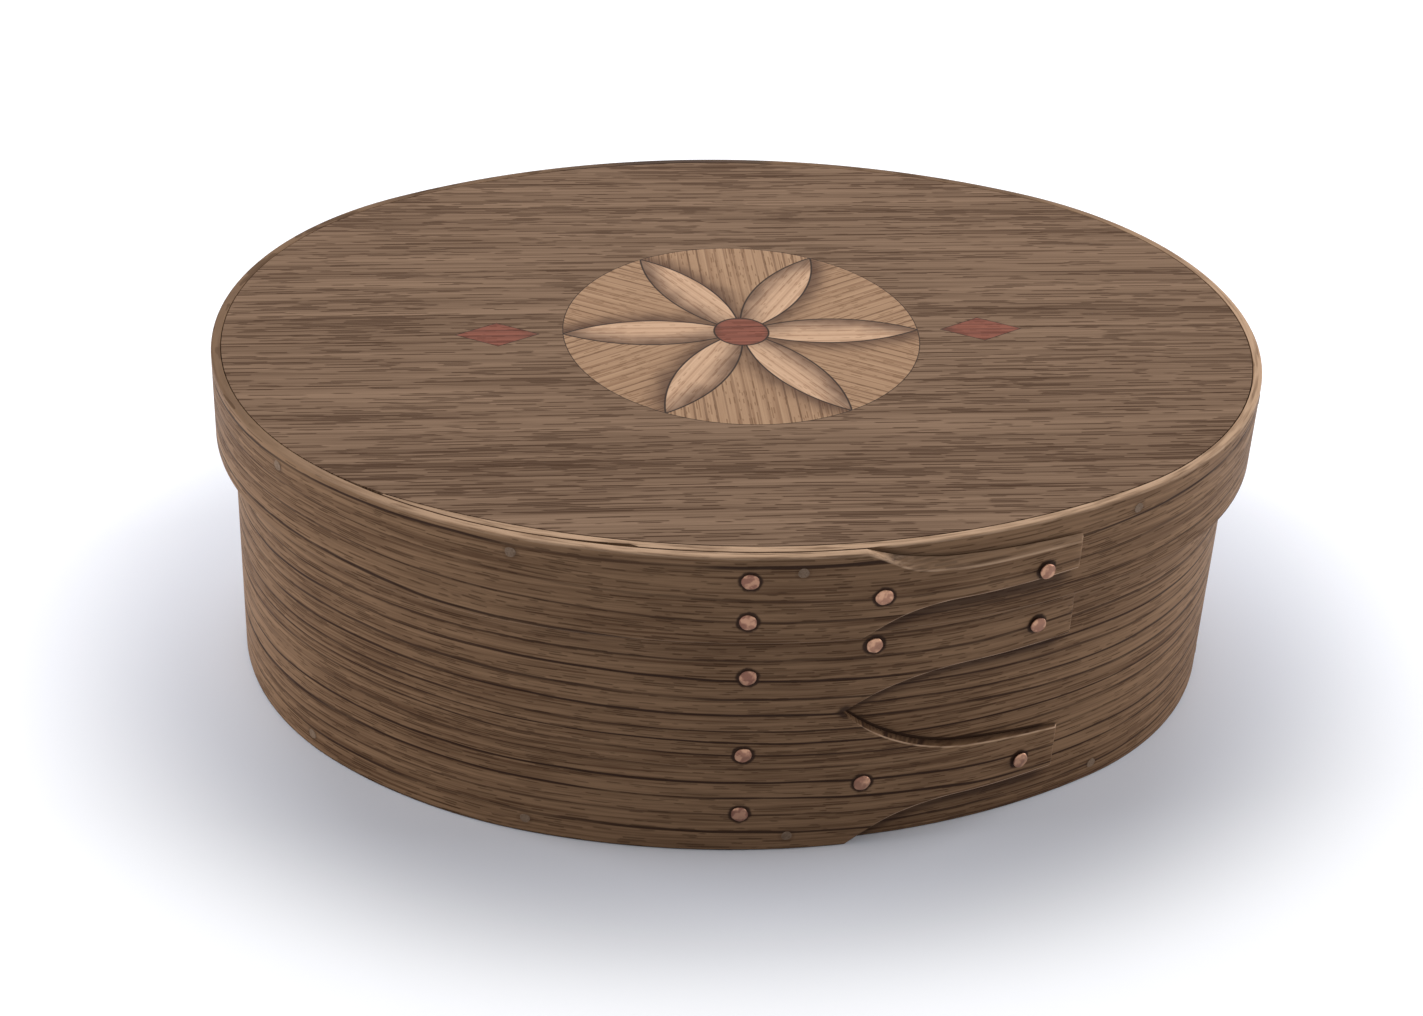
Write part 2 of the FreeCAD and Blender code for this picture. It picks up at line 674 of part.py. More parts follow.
bed_plan = new_sketch(lid_blank, "inlay_bed_plan", "XY_Plane", "sizes.lid_board_thick")
recess(bed_plan)
bed = lid_blank.newObject("PartDesign::Pocket", "inlay_bed")
bed.Profile = bed_plan
bed.setExpression("Length", "sizes.inlay_depth")
lid_blank.setExpression("Placement.Base.y", f"-{LID_SHIFT}")
lid_blank.setExpression("Placement.Base.z", "sizes.band_height")
doc.recompute()


# Inlay
BED_Z = f"({TOP_Z} - sizes.inlay_depth)"


def inlay_disc(name, radius, angle=None):
    """A disc as thick as the inlay, centred on the board or on the rosette's rim at an angle."""
    disc = doc.addObject("Part::Cylinder", name)
    disc.setExpression("Radius", radius)
    disc.setExpression("Height", "sizes.inlay_depth")
    disc.setExpression("Placement.Base.z", BED_Z)
    disc.setExpression("Placement.Base.y", f"-{LID_SHIFT}")
    if angle is not None:
        disc.setExpression("Placement.Base.x", f"sizes.rosette_radius * cos({angle}deg)")
        disc.setExpression("Placement.Base.y", f"sizes.rosette_radius * sin({angle}deg) - {LID_SHIFT}")
    return disc


def common(name, members):
    """The wood that all members share."""
    feature = doc.addObject("Part::MultiCommon", name)
    feature.Shapes = members
    return feature


def cut(name, base, tool):
    """The base without the tool."""
    feature = doc.addObject("Part::Cut", name)
    feature.Base = base
    feature.Tool = tool
    return feature


def rim_disc(name, step):
    """One of the rosette's circles, centred on its rim and passing through its centre."""
    turn = 360 / PETALS
    return inlay_disc(name, "sizes.rosette_radius", angle=turn * (step % PETALS))


hub = inlay_disc("rosette_hub", "sizes.hub_radius")
inlay_nodes = [hub]
for step in range(PETALS):
    number = step + 1
    lens = common(f"petal_lens_{number}", [rim_disc(f"petal_left_{number}", step - 1),
                                           rim_disc(f"petal_right_{number}", step + 1)])
    inlay_nodes.append(cut(f"rosette_petal_{number}", lens,
                           inlay_disc(f"petal_hub_{number}", "sizes.hub_radius")))
    blank = common(f"field_blank_{number}", [inlay_disc(f"field_rim_{number}", "sizes.rosette_radius"),
                                             rim_disc(f"field_from_{number}", step),
                                             rim_disc(f"field_to_{number}", step + 1)])
    first = cut(f"field_first_{number}", blank, rim_disc(f"field_left_{number}", step - 1))
    both = cut(f"field_both_{number}", first, rim_disc(f"field_right_{number}", step + 2))
    inlay_nodes.append(cut(f"rosette_field_{number}", both,
                           inlay_disc(f"field_hub_{number}", "sizes.hub_radius")))

for side, name in ((-1, "left_lozenge"), (1, "right_lozenge")):
    body = new_body(name)
    pad(body, name + "_pad", lambda sketch, side=side: lozenge(sketch, side), "sizes.inlay_depth")
    body.setExpression("Placement.Base.y", f"-{LID_SHIFT}")
    body.setExpression("Placement.Base.z", BED_Z)
    inlay_nodes.append(body)


# Holes for tacks and pegs, cut by the fasteners themselves
def bored(name, blank, *groups):
    """A piece of wood with the holes that its fasteners fill."""
    feature = blank
    for count, fasteners in enumerate(groups, start=1):
        last = count == len(groups)
        feature = cut(name if last else f"{name}_bore_{count}", feature, fasteners)
    return feature


box_band = bored("box_band", box_strip, lower_tacks, upper_tacks, base_pegs)
base_board = bored("base_board", base_blank, base_pegs)
lid_band = bored("lid_band", lid_strip, lid_tacks, lid_pegs)
lid_board = bored("lid_board", lid_blank, lid_pegs)
doc.recompute()

nodes = [box_band, base_board, lower_tacks, upper_tacks, base_pegs,
         lid_band, lid_board, lid_tacks, lid_pegs] + inlay_nodes

# Check every object before anything is written
failed = [item.Label for item in doc.Objects if "Invalid" in item.State or "Error" in item.State]
if failed:
    raise RuntimeError(f"failed objects: {failed}")
for node in nodes:
    if node.Shape.isNull() or not node.Shape.isValid():
        raise RuntimeError(f"bad shape: {node.Label}")

os.makedirs("parts", exist_ok=True)
for node in nodes:
    node.Shape.exportStep(f"parts/{node.Label}.step")
    print(node.Label, "solids", len(node.Shape.Solids), "volume", round(node.Shape.Volume, 1))
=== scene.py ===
"""A bentwood oval box: walnut bands with swallowtail fingers, copper tacks, pegs, boards and a lid inlay."""

import json
import logging
import math
from dataclasses import dataclass, field, replace
from enum import Enum
from functools import reduce
from typing import Any, Iterator, Mapping, Sequence

import bmesh
import bpy
from mathutils import Matrix, Vector

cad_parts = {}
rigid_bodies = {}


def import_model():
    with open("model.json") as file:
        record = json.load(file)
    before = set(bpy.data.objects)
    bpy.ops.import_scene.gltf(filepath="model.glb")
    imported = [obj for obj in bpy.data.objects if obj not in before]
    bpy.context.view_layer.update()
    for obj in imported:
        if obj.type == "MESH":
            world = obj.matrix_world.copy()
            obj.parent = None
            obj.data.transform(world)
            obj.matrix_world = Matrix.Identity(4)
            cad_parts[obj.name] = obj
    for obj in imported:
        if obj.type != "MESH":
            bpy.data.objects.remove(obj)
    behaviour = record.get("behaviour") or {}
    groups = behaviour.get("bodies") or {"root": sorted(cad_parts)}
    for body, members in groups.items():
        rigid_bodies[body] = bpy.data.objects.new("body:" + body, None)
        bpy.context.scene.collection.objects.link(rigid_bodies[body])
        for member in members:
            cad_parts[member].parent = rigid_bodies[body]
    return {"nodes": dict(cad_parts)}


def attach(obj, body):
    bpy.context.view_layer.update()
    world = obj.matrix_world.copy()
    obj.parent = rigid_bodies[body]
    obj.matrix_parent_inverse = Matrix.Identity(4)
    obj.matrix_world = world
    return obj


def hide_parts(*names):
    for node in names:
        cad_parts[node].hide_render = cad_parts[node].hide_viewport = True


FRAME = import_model()
LOG = logging.getLogger("oval_box")
MM = 0.001
UP = Vector((0.0, 0.0, 1.0))
Pair = tuple[float, float]
Triple = tuple[float, float, float]
Colour = tuple[float, float, float]
Place = tuple[Vector, Vector]
Link = bpy.types.Node | bpy.types.NodeSocket
Inputs = Mapping[int | str, Any]


# Node trees


class Num:
    """A node socket that holds a number, with Python's operators on it."""

    def __init__(self, graph: "Graph", socket: bpy.types.NodeSocket) -> None:
        """Keep the socket and its tree."""
        self.graph = graph
        self.socket = socket

    def __add__(self, other: "Num | float") -> "Num":
        """This plus the other."""
        return self.graph.calculate("ADD", self, other)

    __radd__ = __add__

    def __sub__(self, other: "Num | float") -> "Num":
        """This minus the other."""
        return self.graph.calculate("SUBTRACT", self, other)

    def __rsub__(self, other: float) -> "Num":
        """The other minus this."""
        return self.graph.calculate("SUBTRACT", other, self)

    def __mul__(self, other: "Num | float") -> "Num":
        """This times the other."""
        return self.graph.calculate("MULTIPLY", self, other)

    __rmul__ = __mul__

    def __truediv__(self, other: "Num | float") -> "Num":
        """This divided by the other."""
        return self.graph.calculate("DIVIDE", self, other)

    def __neg__(self) -> "Num":
        """This with its sign turned."""
        return self * -1.0

    def floor(self) -> "Num":
        """The whole number below."""
        return self.graph.calculate("FLOOR", self)

    def fract(self) -> "Num":
        """What is left above the whole number below."""
        return self.graph.calculate("FRACT", self)

    def absolute(self) -> "Num":
        """The size without its sign."""
        return self.graph.calculate("ABSOLUTE", self)

    def least(self, other: "Num | float") -> "Num":
        """The smaller of both."""
        return self.graph.calculate("MINIMUM", self, other)

    def most(self, other: "Num | float") -> "Num":
        """The larger of both."""
        return self.graph.calculate("MAXIMUM", self, other)

    def step(self, low: float, high: float) -> "Num":
        """A smooth climb.

        Args:
            low: where the result is 0.
            high: where the result is 1, which may be below low.

        Returns:
            A number from 0 to 1.
        """
        span = {"Value": self, "From Min": low, "From Max": high, "To Min": 0.0, "To Max": 1.0}
        made = self.graph.node("ShaderNodeMapRange", {"interpolation_type": "SMOOTHSTEP"}, span)
        return Num(self.graph, made.outputs[0])

    def fade(self, low: float, high: float, least: float) -> "Num":
        """A smooth climb that starts from a least value at low and ends at 1 at high."""
        return self.step(low, high) * (1.0 - least) + least


class Graph:
    """A node tree, whether a material's or a modifier's, that grows by one method."""

    def __init__(self, tree: bpy.types.NodeTree) -> None:
        """Start with an empty tree."""
        self.tree = tree
        tree.nodes.clear()

    def node(
        self, kind: str, settings: Mapping[str, Any] | None = None, inputs: Inputs | None = None
    ) -> bpy.types.Node:
        """Add a node.

        Args:
            kind: the node's type.
            settings: its properties, set first.
            inputs: what each named or numbered input gets, as in feed.

        Returns:
            The node.
        """
        made = self.tree.nodes.new(kind)
        for key, value in (settings or {}).items():
            setattr(made, key, value)
        self.feed(made, inputs or {})
        return made

    def feed(self, made: bpy.types.Node, inputs: Inputs) -> None:
        """Set or link the inputs of a node.

        Args:
            made: the node.
            inputs: a plain value, a socket, a Num, or a node whose first output counts, for each input.
        """
        for key, value in inputs.items():
            if isinstance(value, Num):
                value = value.socket
            elif isinstance(value, bpy.types.Node):
                value = value.outputs[0]
            if isinstance(value, bpy.types.NodeSocket):
                self.tree.links.new(value, made.inputs[key])
            else:
                made.inputs[key].default_value = value

    def calculate(self, operation: str, *values: Num | float) -> Num:
        """The result of a Math node on one or two values."""
        made = self.node("ShaderNodeMath", {"operation": operation}, dict(enumerate(values)))
        return Num(self, made.outputs[0])

    def vector(self, operation: str, *values: Any) -> bpy.types.Node:
        """A Vector Math node on one to three values."""
        return self.node("ShaderNodeVectorMath", {"operation": operation}, dict(enumerate(values)))

    def combine(self, *parts: Num | float) -> bpy.types.Node:
        """A vector made of its parts, where a missing part is 0."""
        return self.node("ShaderNodeCombineXYZ", inputs=dict(enumerate(parts)))

    def split(self, vector: Link) -> tuple[Num, Num, Num]:
        """The three numbers of a vector."""
        parts = self.node("ShaderNodeSeparateXYZ", inputs={0: vector}).outputs
        return Num(self, parts[0]), Num(self, parts[1]), Num(self, parts[2])


class Surface(Graph):
    """A material's tree, with the few moves that every finish here makes."""

    def __init__(self, name: str) -> None:
        """Make the material and its Principled shader.

        Args:
            name: the material's name.
        """
        self.material = bpy.data.materials.new(name)
        self.material.use_nodes = True
        super().__init__(self.material.node_tree)
        self.shader = self.node("ShaderNodeBsdfPrincipled")
        self.node("ShaderNodeOutputMaterial", inputs={"Surface": self.shader})

    def attribute(self, name: str, output: str) -> bpy.types.NodeSocket:
        """One output of a mesh attribute."""
        return self.node("ShaderNodeAttribute", {"attribute_name": name}).outputs[output]

    def place(self, follow: "Follow") -> Link:
        """Coordinates in millimetres that the pattern follows.

        Args:
            follow: the flat strip before it was bent, or the object itself.

        Returns:
            A vector: along the grain, across it and through the thickness.
        """
        if follow is Follow.STRIP:
            along, through, across = self.split(self.attribute("strip", "Vector"))
        else:
            along, across, through = self.split(self.node("ShaderNodeTexCoord").outputs["Object"])
        return self.combine(along / MM, across / MM, through / MM)

    def noise(self, vector: Link, size: Triple, detail: float = 2.0, shift: float = 0.0) -> Num:
        """Smooth noise, drawn out along each axis.

        Args:
            vector: where to read it, in millimetres.
            size: the length of one bump along each axis, in millimetres.
            detail: how many finer layers it has.
            shift: moves the pattern, so that two uses differ.

        Returns:
            A number about 0.5.
        """
        moved = (shift, shift * 1.7, shift * 0.6)
        scaled = self.vector("MULTIPLY_ADD", vector, [1.0 / length for length in size], moved)
        made = self.node("ShaderNodeTexNoise", inputs={"Vector": scaled, "Scale": 1.0, "Detail": detail})
        return Num(self, made.outputs["Fac"])

    def mix(self, share: Num, first: Link | Colour, second: Link | Colour) -> bpy.types.NodeSocket:
        """A colour between two others.

        Args:
            share: how much of the second it has, from 0 to 1.
            first: a colour, or a link to one.
            second: the same.

        Returns:
            The mixed colour.
        """
        pair = [(*value, 1.0) if isinstance(value, tuple) else value for value in (first, second)]
        settings = {"data_type": "RGBA", "clamp_factor": True}
        return self.node("ShaderNodeMix", settings, {0: share, 6: pair[0], 7: pair[1]}).outputs[2]

    def distance(self, vector: Link, point: Triple) -> Num:
        """How far the vector is from a point, in millimetres."""
        return Num(self, self.vector("DISTANCE", vector, point).outputs["Value"])

    def finish(self, colour: Link, roughness: Num | float, height: Num, depth: float, gloss: float) -> None:
        """Feed the shader.

        Args:
            colour: the base colour.
            roughness: how matt the surface is.
            height: relief, from 0 to 1.
            depth: what a height of 1 stands for, in millimetres.
            gloss: the specular level.
        """
        bump = self.node("ShaderNodeBump", inputs={"Strength": 1.0, "Distance": depth * MM, "Height": height})
        given = {"Base Color": colour, "Roughness": roughness, "Specular IOR Level": gloss, "Normal": bump}
        self.feed(self.shader, given)


# Finishes


class Follow(Enum):
    """What the grain of a wood follows."""

    STRIP = "strip"
    BOARD = "board"


@dataclass(frozen=True)
class Grain:
    """How a wood's figure looks. Lengths in millimetres, depths as shares."""

    light: Colour
    dark: Colour
    line: Colour
    spacing: float = 3.7
    wander: float = 2.2
    wobble: float = 0.5
    line_depth: float = 0.85
    line_width: float = 0.13
    shade_depth: float = 0.3
    streak_depth: float = 0.55
    streak_size: Pair = (75.0, 1.1)
    hair_depth: float = 0.3
    fibre_depth: float = 0.45
    fibre_size: Pair = (14.0, 0.34)
    pore_depth: float = 0.75
    pore_length: float = 4.0
    pore_width: float = 0.45
    pore_level: float = 0.6
    pore_reach: float = 1.6
    cloud_depth: float = 0.5
    shade: float = 0.34
    drift: Triple = (4.0, 2.0, 1.5)
    contrast: Triple = (3.2, 2.6, 2.0)
    gather: Triple = (0.05, 0.03, 0.22)
    gather_step: Pair = (0.4, 0.65)
    broken_step: Triple = (0.3, 0.5, 0.45)
    frayed_step: Triple = (0.25, 0.42, 0.7)
    hair_step: Pair = (0.56, 0.67)
    row_step: Pair = (0.42, 0.16)
    row_shift: Pair = (5.37, 3.71)
    seed: float = 0.0
    roughness: float = 0.58
    gloss: float = 0.11
    relief: float = 0.05

    def noises(self) -> dict[str, tuple[Triple, float, float]]:
        """The noises of the figure.

        Returns:
            For each name, a bump's size along, across and through the wood, its detail and its shift.
        """
        return {
            "broad": ((130.0, 34.0, 60.0), 0.0, 1.3),
            "small": ((32.0, 6.0, 20.0), 2.0, 4.1),
            "uneven": ((400.0, self.spacing * 2.6, 400.0), 1.0, 3.9),
            "broken": ((30.0, self.spacing * 0.8, 9.0), 2.0, 6.3),
            "streak": ((*self.streak_size, 8.0), 3.0, 7.7),
            "fibre": ((*self.fibre_size, 3.0), 3.0, 2.2),
            "cloud": ((60.0, 14.0, 30.0), 1.0, 9.4),
            "hair": ((55.0, 0.6, 3.0), 2.0, 8.6),
        }


@dataclass(frozen=True)
class WoodFinish:
    """Oiled open-pored wood, with growth lines, streaks, pores and fibres."""

    name: str
    grain: Grain
    follow: Follow = Follow.BOARD
    pore_matt: float = 0.18

    def build(self) -> bpy.types.Material:
        """Make the material.

        Returns:
            The material.
        """
        surface = Surface(self.name)
        colour, pores, height = self.paint(surface)
        rough = pores * self.pore_matt + self.grain.roughness
        surface.finish(colour, rough, height, self.grain.relief, self.grain.gloss)
        return surface.material

    def paint(self, surface: Surface) -> tuple[Link, Num, Num]:
        """The colour, the share of pores and the relief of the whole surface."""
        return self.figure(surface, surface.place(self.follow))

    def figure(self, surface: Surface, place: Link) -> tuple[Link, Num, Num]:
        """Draw the figure of the wood.

        Args:
            surface: the material's tree.
            place: along, across and through the wood, in millimetres.

        Returns:
            The colour, the share of pores and the relief.
        """
        grain = self.grain
        along, across, through = surface.split(place)
        noise = {
            name: surface.noise(place, size, detail, grain.seed + shift)
            for name, (size, detail, shift) in grain.noises().items()
        }
        streak, fibre, cloud = noise["streak"], noise["fibre"], noise["cloud"] - 0.5
        broad, small, uneven = (noise[name] - 0.5 for name in ("broad", "small", "uneven"))
        wander, wobble, stretch = grain.drift
        moved = across + broad * (grain.wander * wander) + small * (grain.wobble * wobble)
        phase = (moved + uneven * (grain.spacing * stretch)) / grain.spacing
        rise = phase.fract()
        line = self._line(surface, phase) * noise["broken"].fade(*grain.broken_step)
        line = line * fibre.fade(*grain.frayed_step)
        by_streak, by_rise, by_cloud = grain.gather
        gathered = streak.step(*grain.gather_step) * by_streak + rise * by_rise + cloud * by_cloud
        pores = self._pores(surface, (along, moved, through), gathered)
        by_streak, by_fibre, by_cloud = grain.contrast
        shade = (streak - 0.5) * (grain.streak_depth * by_streak)
        shade = shade + (fibre - 0.5) * (grain.fibre_depth * by_fibre)
        shade = shade + cloud * (grain.cloud_depth * by_cloud) + rise * rise * grain.shade_depth + grain.shade
        shade = shade + noise["hair"].step(*grain.hair_step) * grain.hair_depth
        colour = surface.mix(shade, grain.light, grain.dark)
        colour = surface.mix(line * grain.line_depth, colour, grain.line)
        colour = surface.mix(pores * grain.pore_depth, colour, grain.line)
        return colour, pores, 0.7 - pores * 0.5 - line * 0.25 + (fibre - 0.5) * 0.5

    def _line(self, surface: Surface, phase: Num) -> Num:
        """The dark line that ends each growth ring, stronger in some rings than in others.

        Args:
            surface: the material's tree.
            phase: rings counted across the wood.

        Returns:
            How dark the line is, from 0 to 1.
        """
        width, rise = self.grain.line_width, phase.fract()
        start = 1.0 - width * 1.6
        ring = {"W": phase.floor() + self.grain.seed}
        chance = surface.node("ShaderNodeTexWhiteNoise", {"noise_dimensions": "1D"}, ring).outputs["Value"]
        line = rise.step(start - 0.04, start + 0.02) * rise.step(1.0, 1.0 - width * 0.5)
        return line * (Num(surface, chance) * 0.9 + 0.4).least(1.0)

    def _pores(self, surface: Surface, place: tuple[Num, Num, Num], gathered: Num) -> Num:
        """Fine dashes in rows along the wood.

        Args:
            surface: the material's tree.
            place: along, across and through the wood, in millimetres.
            gathered: how much denser than elsewhere they are.

        Returns:
            The share of pores, from 0 to 1.
        """
        grain, (along, across, through) = self.grain, place
        rows = across / grain.pore_width
        row, beside = rows.floor(), (rows.fract() - 0.5).absolute()
        ahead, aside = grain.row_shift
        start = along / grain.pore_length + row * ahead
        spot = surface.combine(start, row * aside, through / grain.pore_reach)
        dashes = surface.noise(spot, (1.0, 1.0, 1.0), 1.0, grain.seed) + gathered
        return dashes.step(grain.pore_level, grain.pore_level + 0.04) * beside.step(*grain.row_step)


@dataclass(frozen=True)
class BandFinish(WoodFinish):
    """The bent strips: figured along the strip, paler along edges through use and with a painted highlight
    and shade on the rims, with dark rings round tacks and pegs, and with painted shade at the valley and
    along the finger feet.
    """

    follow: Follow = Follow.STRIP
    # Colour of edges paled by use; on the rims it also stands for a painted highlight.
    edge: Colour = (0.52, 0.34, 0.22)
    # Dark colour of the rings round tacks and pegs and of dark joints, also used for painted shade at the
    # valley, along the fingers and the foot, and on the rims towards the back left.
    stain_and_shade: Colour = (0.03, 0.013, 0.007)
    tacks: tuple[Triple, ...] = ()
    pegs: tuple[Triple, ...] = ()
    tack_radius: float = 1.75
    peg_radius: float = 1.1
    tack_stain: float = 0.95
    peg_stain: float = 0.2
    feet: tuple[tuple["FingerEdge", bool], ...] = ()
    shade_below: float = 3.4
    shade_above: float = 0.6
    depth_below: float = 0.6
    depth_above: float = 0.82
    halo: Triple = (2.2, 0.6, 0.18)
    # Strength of the painted shadow along the finger feet.
    finger_shadow: float = 0.92
    shadow_from: float = 10.0
    # Painted shade in the small hole at the valley, where the two fingers part.
    valley: tuple[Triple, ...] = ()
    valley_ring: Pair = (2.0, 0.9)
    valley_shade: float = 0.9
    lap_run: float = 0.0
    # Painted highlight and shade on the rims by side: edges paled by use show paler towards the front right
    # and darker towards the back left.
    rim_light_slant: float = 0.6
    rim_light: Triple = (-30.0, 62.0, 0.08)
    rubbed_size: Triple = (9.0, 0.6, 0.6)
    rubbed: Triple = (0.32, 0.6, 0.3)
    rim_shade: float = 0.4
    ragged_size: Triple = (1.2, 1.2, 1.2)
    ragged: float = 0.8
    ring: Pair = (0.75, 0.2)

    def _foot(self, surface: Surface, x: Num, edge: "FingerEdge") -> Num:
        """Where a finger's edge runs on the front.

        Args:
            surface: the material's tree.
            x: distance from the middle of the front, in millimetres.
            edge: the finger's edge.

        Returns:
            The edge's height over the strip's foot, in millimetres.
        """
        centre, radius, slope, sign = edge.circle()
        run = x - centre[0]
        root = surface.calculate("SQRT", (radius**2 - run * run).most(0.0))
        bent = root * sign + centre[1]
        straight = (x - edge.waist[0]) * slope + edge.waist[1]
        past = surface.calculate("GREATER_THAN", x, edge.waist[0])
        return straight * past + bent * (1.0 - past)

    def _finger_shadow(self, surface: Surface, place: Link, solid: Link) -> Num:
        """Painted shadow on the layer beneath, along the feet of the fingers: a wide soft band below the
        edges under which that layer shows, and a tight dark line, part painted shadow and part dirt, along
        the others.

        Args:
            surface: the material's tree.
            place: along, across and through the strip, in millimetres.
            solid: the place on the object, in millimetres.

        Returns:
            How dark the painted shadow is, from 0 to 1.
        """
        along, across, through = surface.split(place)
        x, y, _ = surface.split(solid)
        darks = []
        for edge, shows_below in self.feet:
            reach = self.shade_below if shows_below else self.shade_above
            depth = self.depth_below if shows_below else self.depth_above
            gap = (across - self._foot(surface, x, edge)).absolute() / reach
            darks.append(gap.step(1.0, 0.5) * depth + gap.step(*self.halo[:2]) * self.halo[2])
        tip = self.feet[0][0].tip[0]
        front = x.step(self.shadow_from, self.shadow_from + 1.5) * x.step(tip - 0.5, tip - 5.0)
        outside = y.step(-20.0, -30.0) * through.step(1.2, 1.6)
        return reduce(Num.most, darks) * front * outside * along.step(self.lap_run, self.lap_run - 5.0)

    def paint(self, surface: Surface) -> tuple[Link, Num, Num]:
        """The figure with edges paler from use, a painted highlight and shade on the rims, dark rings round
        the tacks and pegs, and painted shade at the valley and along the fingers.

        Args:
            surface: the material's tree.

        Returns:
            The colour, the share of pores and the relief.
        """
        place, solid = surface.place(self.follow), surface.place(Follow.BOARD)
        colour, pores, height = self.figure(surface, place)
        edge = Num(surface, surface.attribute("edge", "Fac"))
        x, y, _ = surface.split(solid)
        # Painted highlight and shade: edges paled by use show paler towards the front right, darker towards
        # the back left.
        rim_light = (x * self.rim_light_slant - y).fade(*self.rim_light)
        rubbed = surface.noise(place, self.rubbed_size, 3.0, 3.3).fade(*self.rubbed)
        bare = edge.most(0.0)
        colour = surface.mix(bare * (1.0 - rim_light) * self.rim_shade, colour, self.stain_and_shade)
        colour = surface.mix(bare * rubbed * rim_light, colour, self.edge)
        # Edges with a tone below 0 are darker: painted shade along the box's foot and finger edges, and dark
        # joints at the seams.
        colour = surface.mix((-edge).most(0.0), colour, self.stain_and_shade)
        ragged = (surface.noise(solid, self.ragged_size, 2.0, 8.8) - 0.5) * self.ragged
        for centres, radius, (wide, tight), depth in (
            (self.tacks, self.tack_radius, self.ring, self.tack_stain),
            (self.pegs, self.peg_radius, self.ring, self.peg_stain),
            (self.valley, 0.0, self.valley_ring, self.valley_shade),
        ):
            if centres:
                near = reduce(Num.least, [surface.distance(solid, centre) for centre in centres]) + ragged
                colour = surface.mix(near.step(radius + wide, radius + tight) * depth, colour, self.stain_and_shade)
        # Painted shadow along the feet of the fingers.
        colour = surface.mix(self._finger_shadow(surface, place, solid) * self.finger_shadow, colour, self.stain_and_shade)
        return colour, pores, height


@dataclass(frozen=True)
class CopperFinish:
    """Hammered copper that has dulled, darker in its dents."""

    name: str = "copper"
    bright: Colour = (0.5, 0.285, 0.185)
    dull: Colour = (0.22, 0.105, 0.075)
    dent_size: Triple = (1.6, 1.6, 1.6)
    scratch_size: Triple = (0.3, 0.6, 0.3)
    patch_size: Triple = (14.0, 14.0, 9.0)
    metallic: float = 0.9
    roughness: float = 0.28

    def build(self) -> bpy.types.Material:
        """Make the material.

        Returns:
            The material.
        """
        surface = Surface(self.name)
        place = surface.place(Follow.BOARD)
        dents = surface.noise(place, self.dent_size, 2.0, 2.0)
        scratches = surface.noise(place, self.scratch_size, 2.0, 6.0)
        aged = surface.noise(place, self.patch_size, 0.0, 4.0)
        shade = dents.step(0.42, 0.6) * 0.65 + aged.step(0.35, 0.65) * 0.45
        rough = shade * 0.15 + scratches * 0.15 + self.roughness
        relief = dents * 0.7 + scratches * 0.3
        surface.finish(surface.mix(shade, self.bright, self.dull), rough, relief, depth=0.1, gloss=0.5)
        surface.shader.inputs["Metallic"].default_value = self.metallic
        return surface.material


@dataclass(frozen=True)
class PegFinish:
    """The sawn end of a wooden peg, with its rings of pores."""

    name: str = "peg_end"
    light: Colour = (0.24, 0.162, 0.108)
    dark: Colour = (0.14, 0.088, 0.055)
    pore_size: Triple = (0.28, 0.28, 0.28)
    patch_size: Triple = (1.3, 1.3, 1.3)
    roughness: float = 0.7

    def build(self) -> bpy.types.Material:
        """Make the material.

        Returns:
            The material.
        """
        surface = Surface(self.name)
        place = surface.place(Follow.BOARD)
        speckle = surface.noise(place, self.pore_size, 2.0, 1.0)
        patch = surface.noise(place, self.patch_size, 1.0, 5.0)
        shade = speckle.step(0.4, 0.7) * 0.6 + patch.step(0.5, 0.75) * 0.5
        colour = surface.mix(shade, self.light, self.dark)
        surface.finish(colour, self.roughness, speckle, depth=0.05, gloss=0.2)
        return surface.material


class Motif(Enum):
    """The shapes of the inlay, by which its dark joints and scorched edges are drawn."""

    PETAL = "petal"
    FIELD = "field"
    HUB = "hub"
    LOZENGE = "lozenge"


@dataclass(frozen=True)
class InlayPlan:
    """Places of the inlay on the lid's board, in millimetres and degrees."""

    centre_y: float = -1.225
    radius: float = 36.0
    hub_radius: float = 5.5
    petals: int = 6
    petal_lean: float = 60.0
    field_lean: float = 90.0
    lozenge_centre: float = 49.0
    lozenge_length: float = 17.0
    lozenge_width: float = 9.5


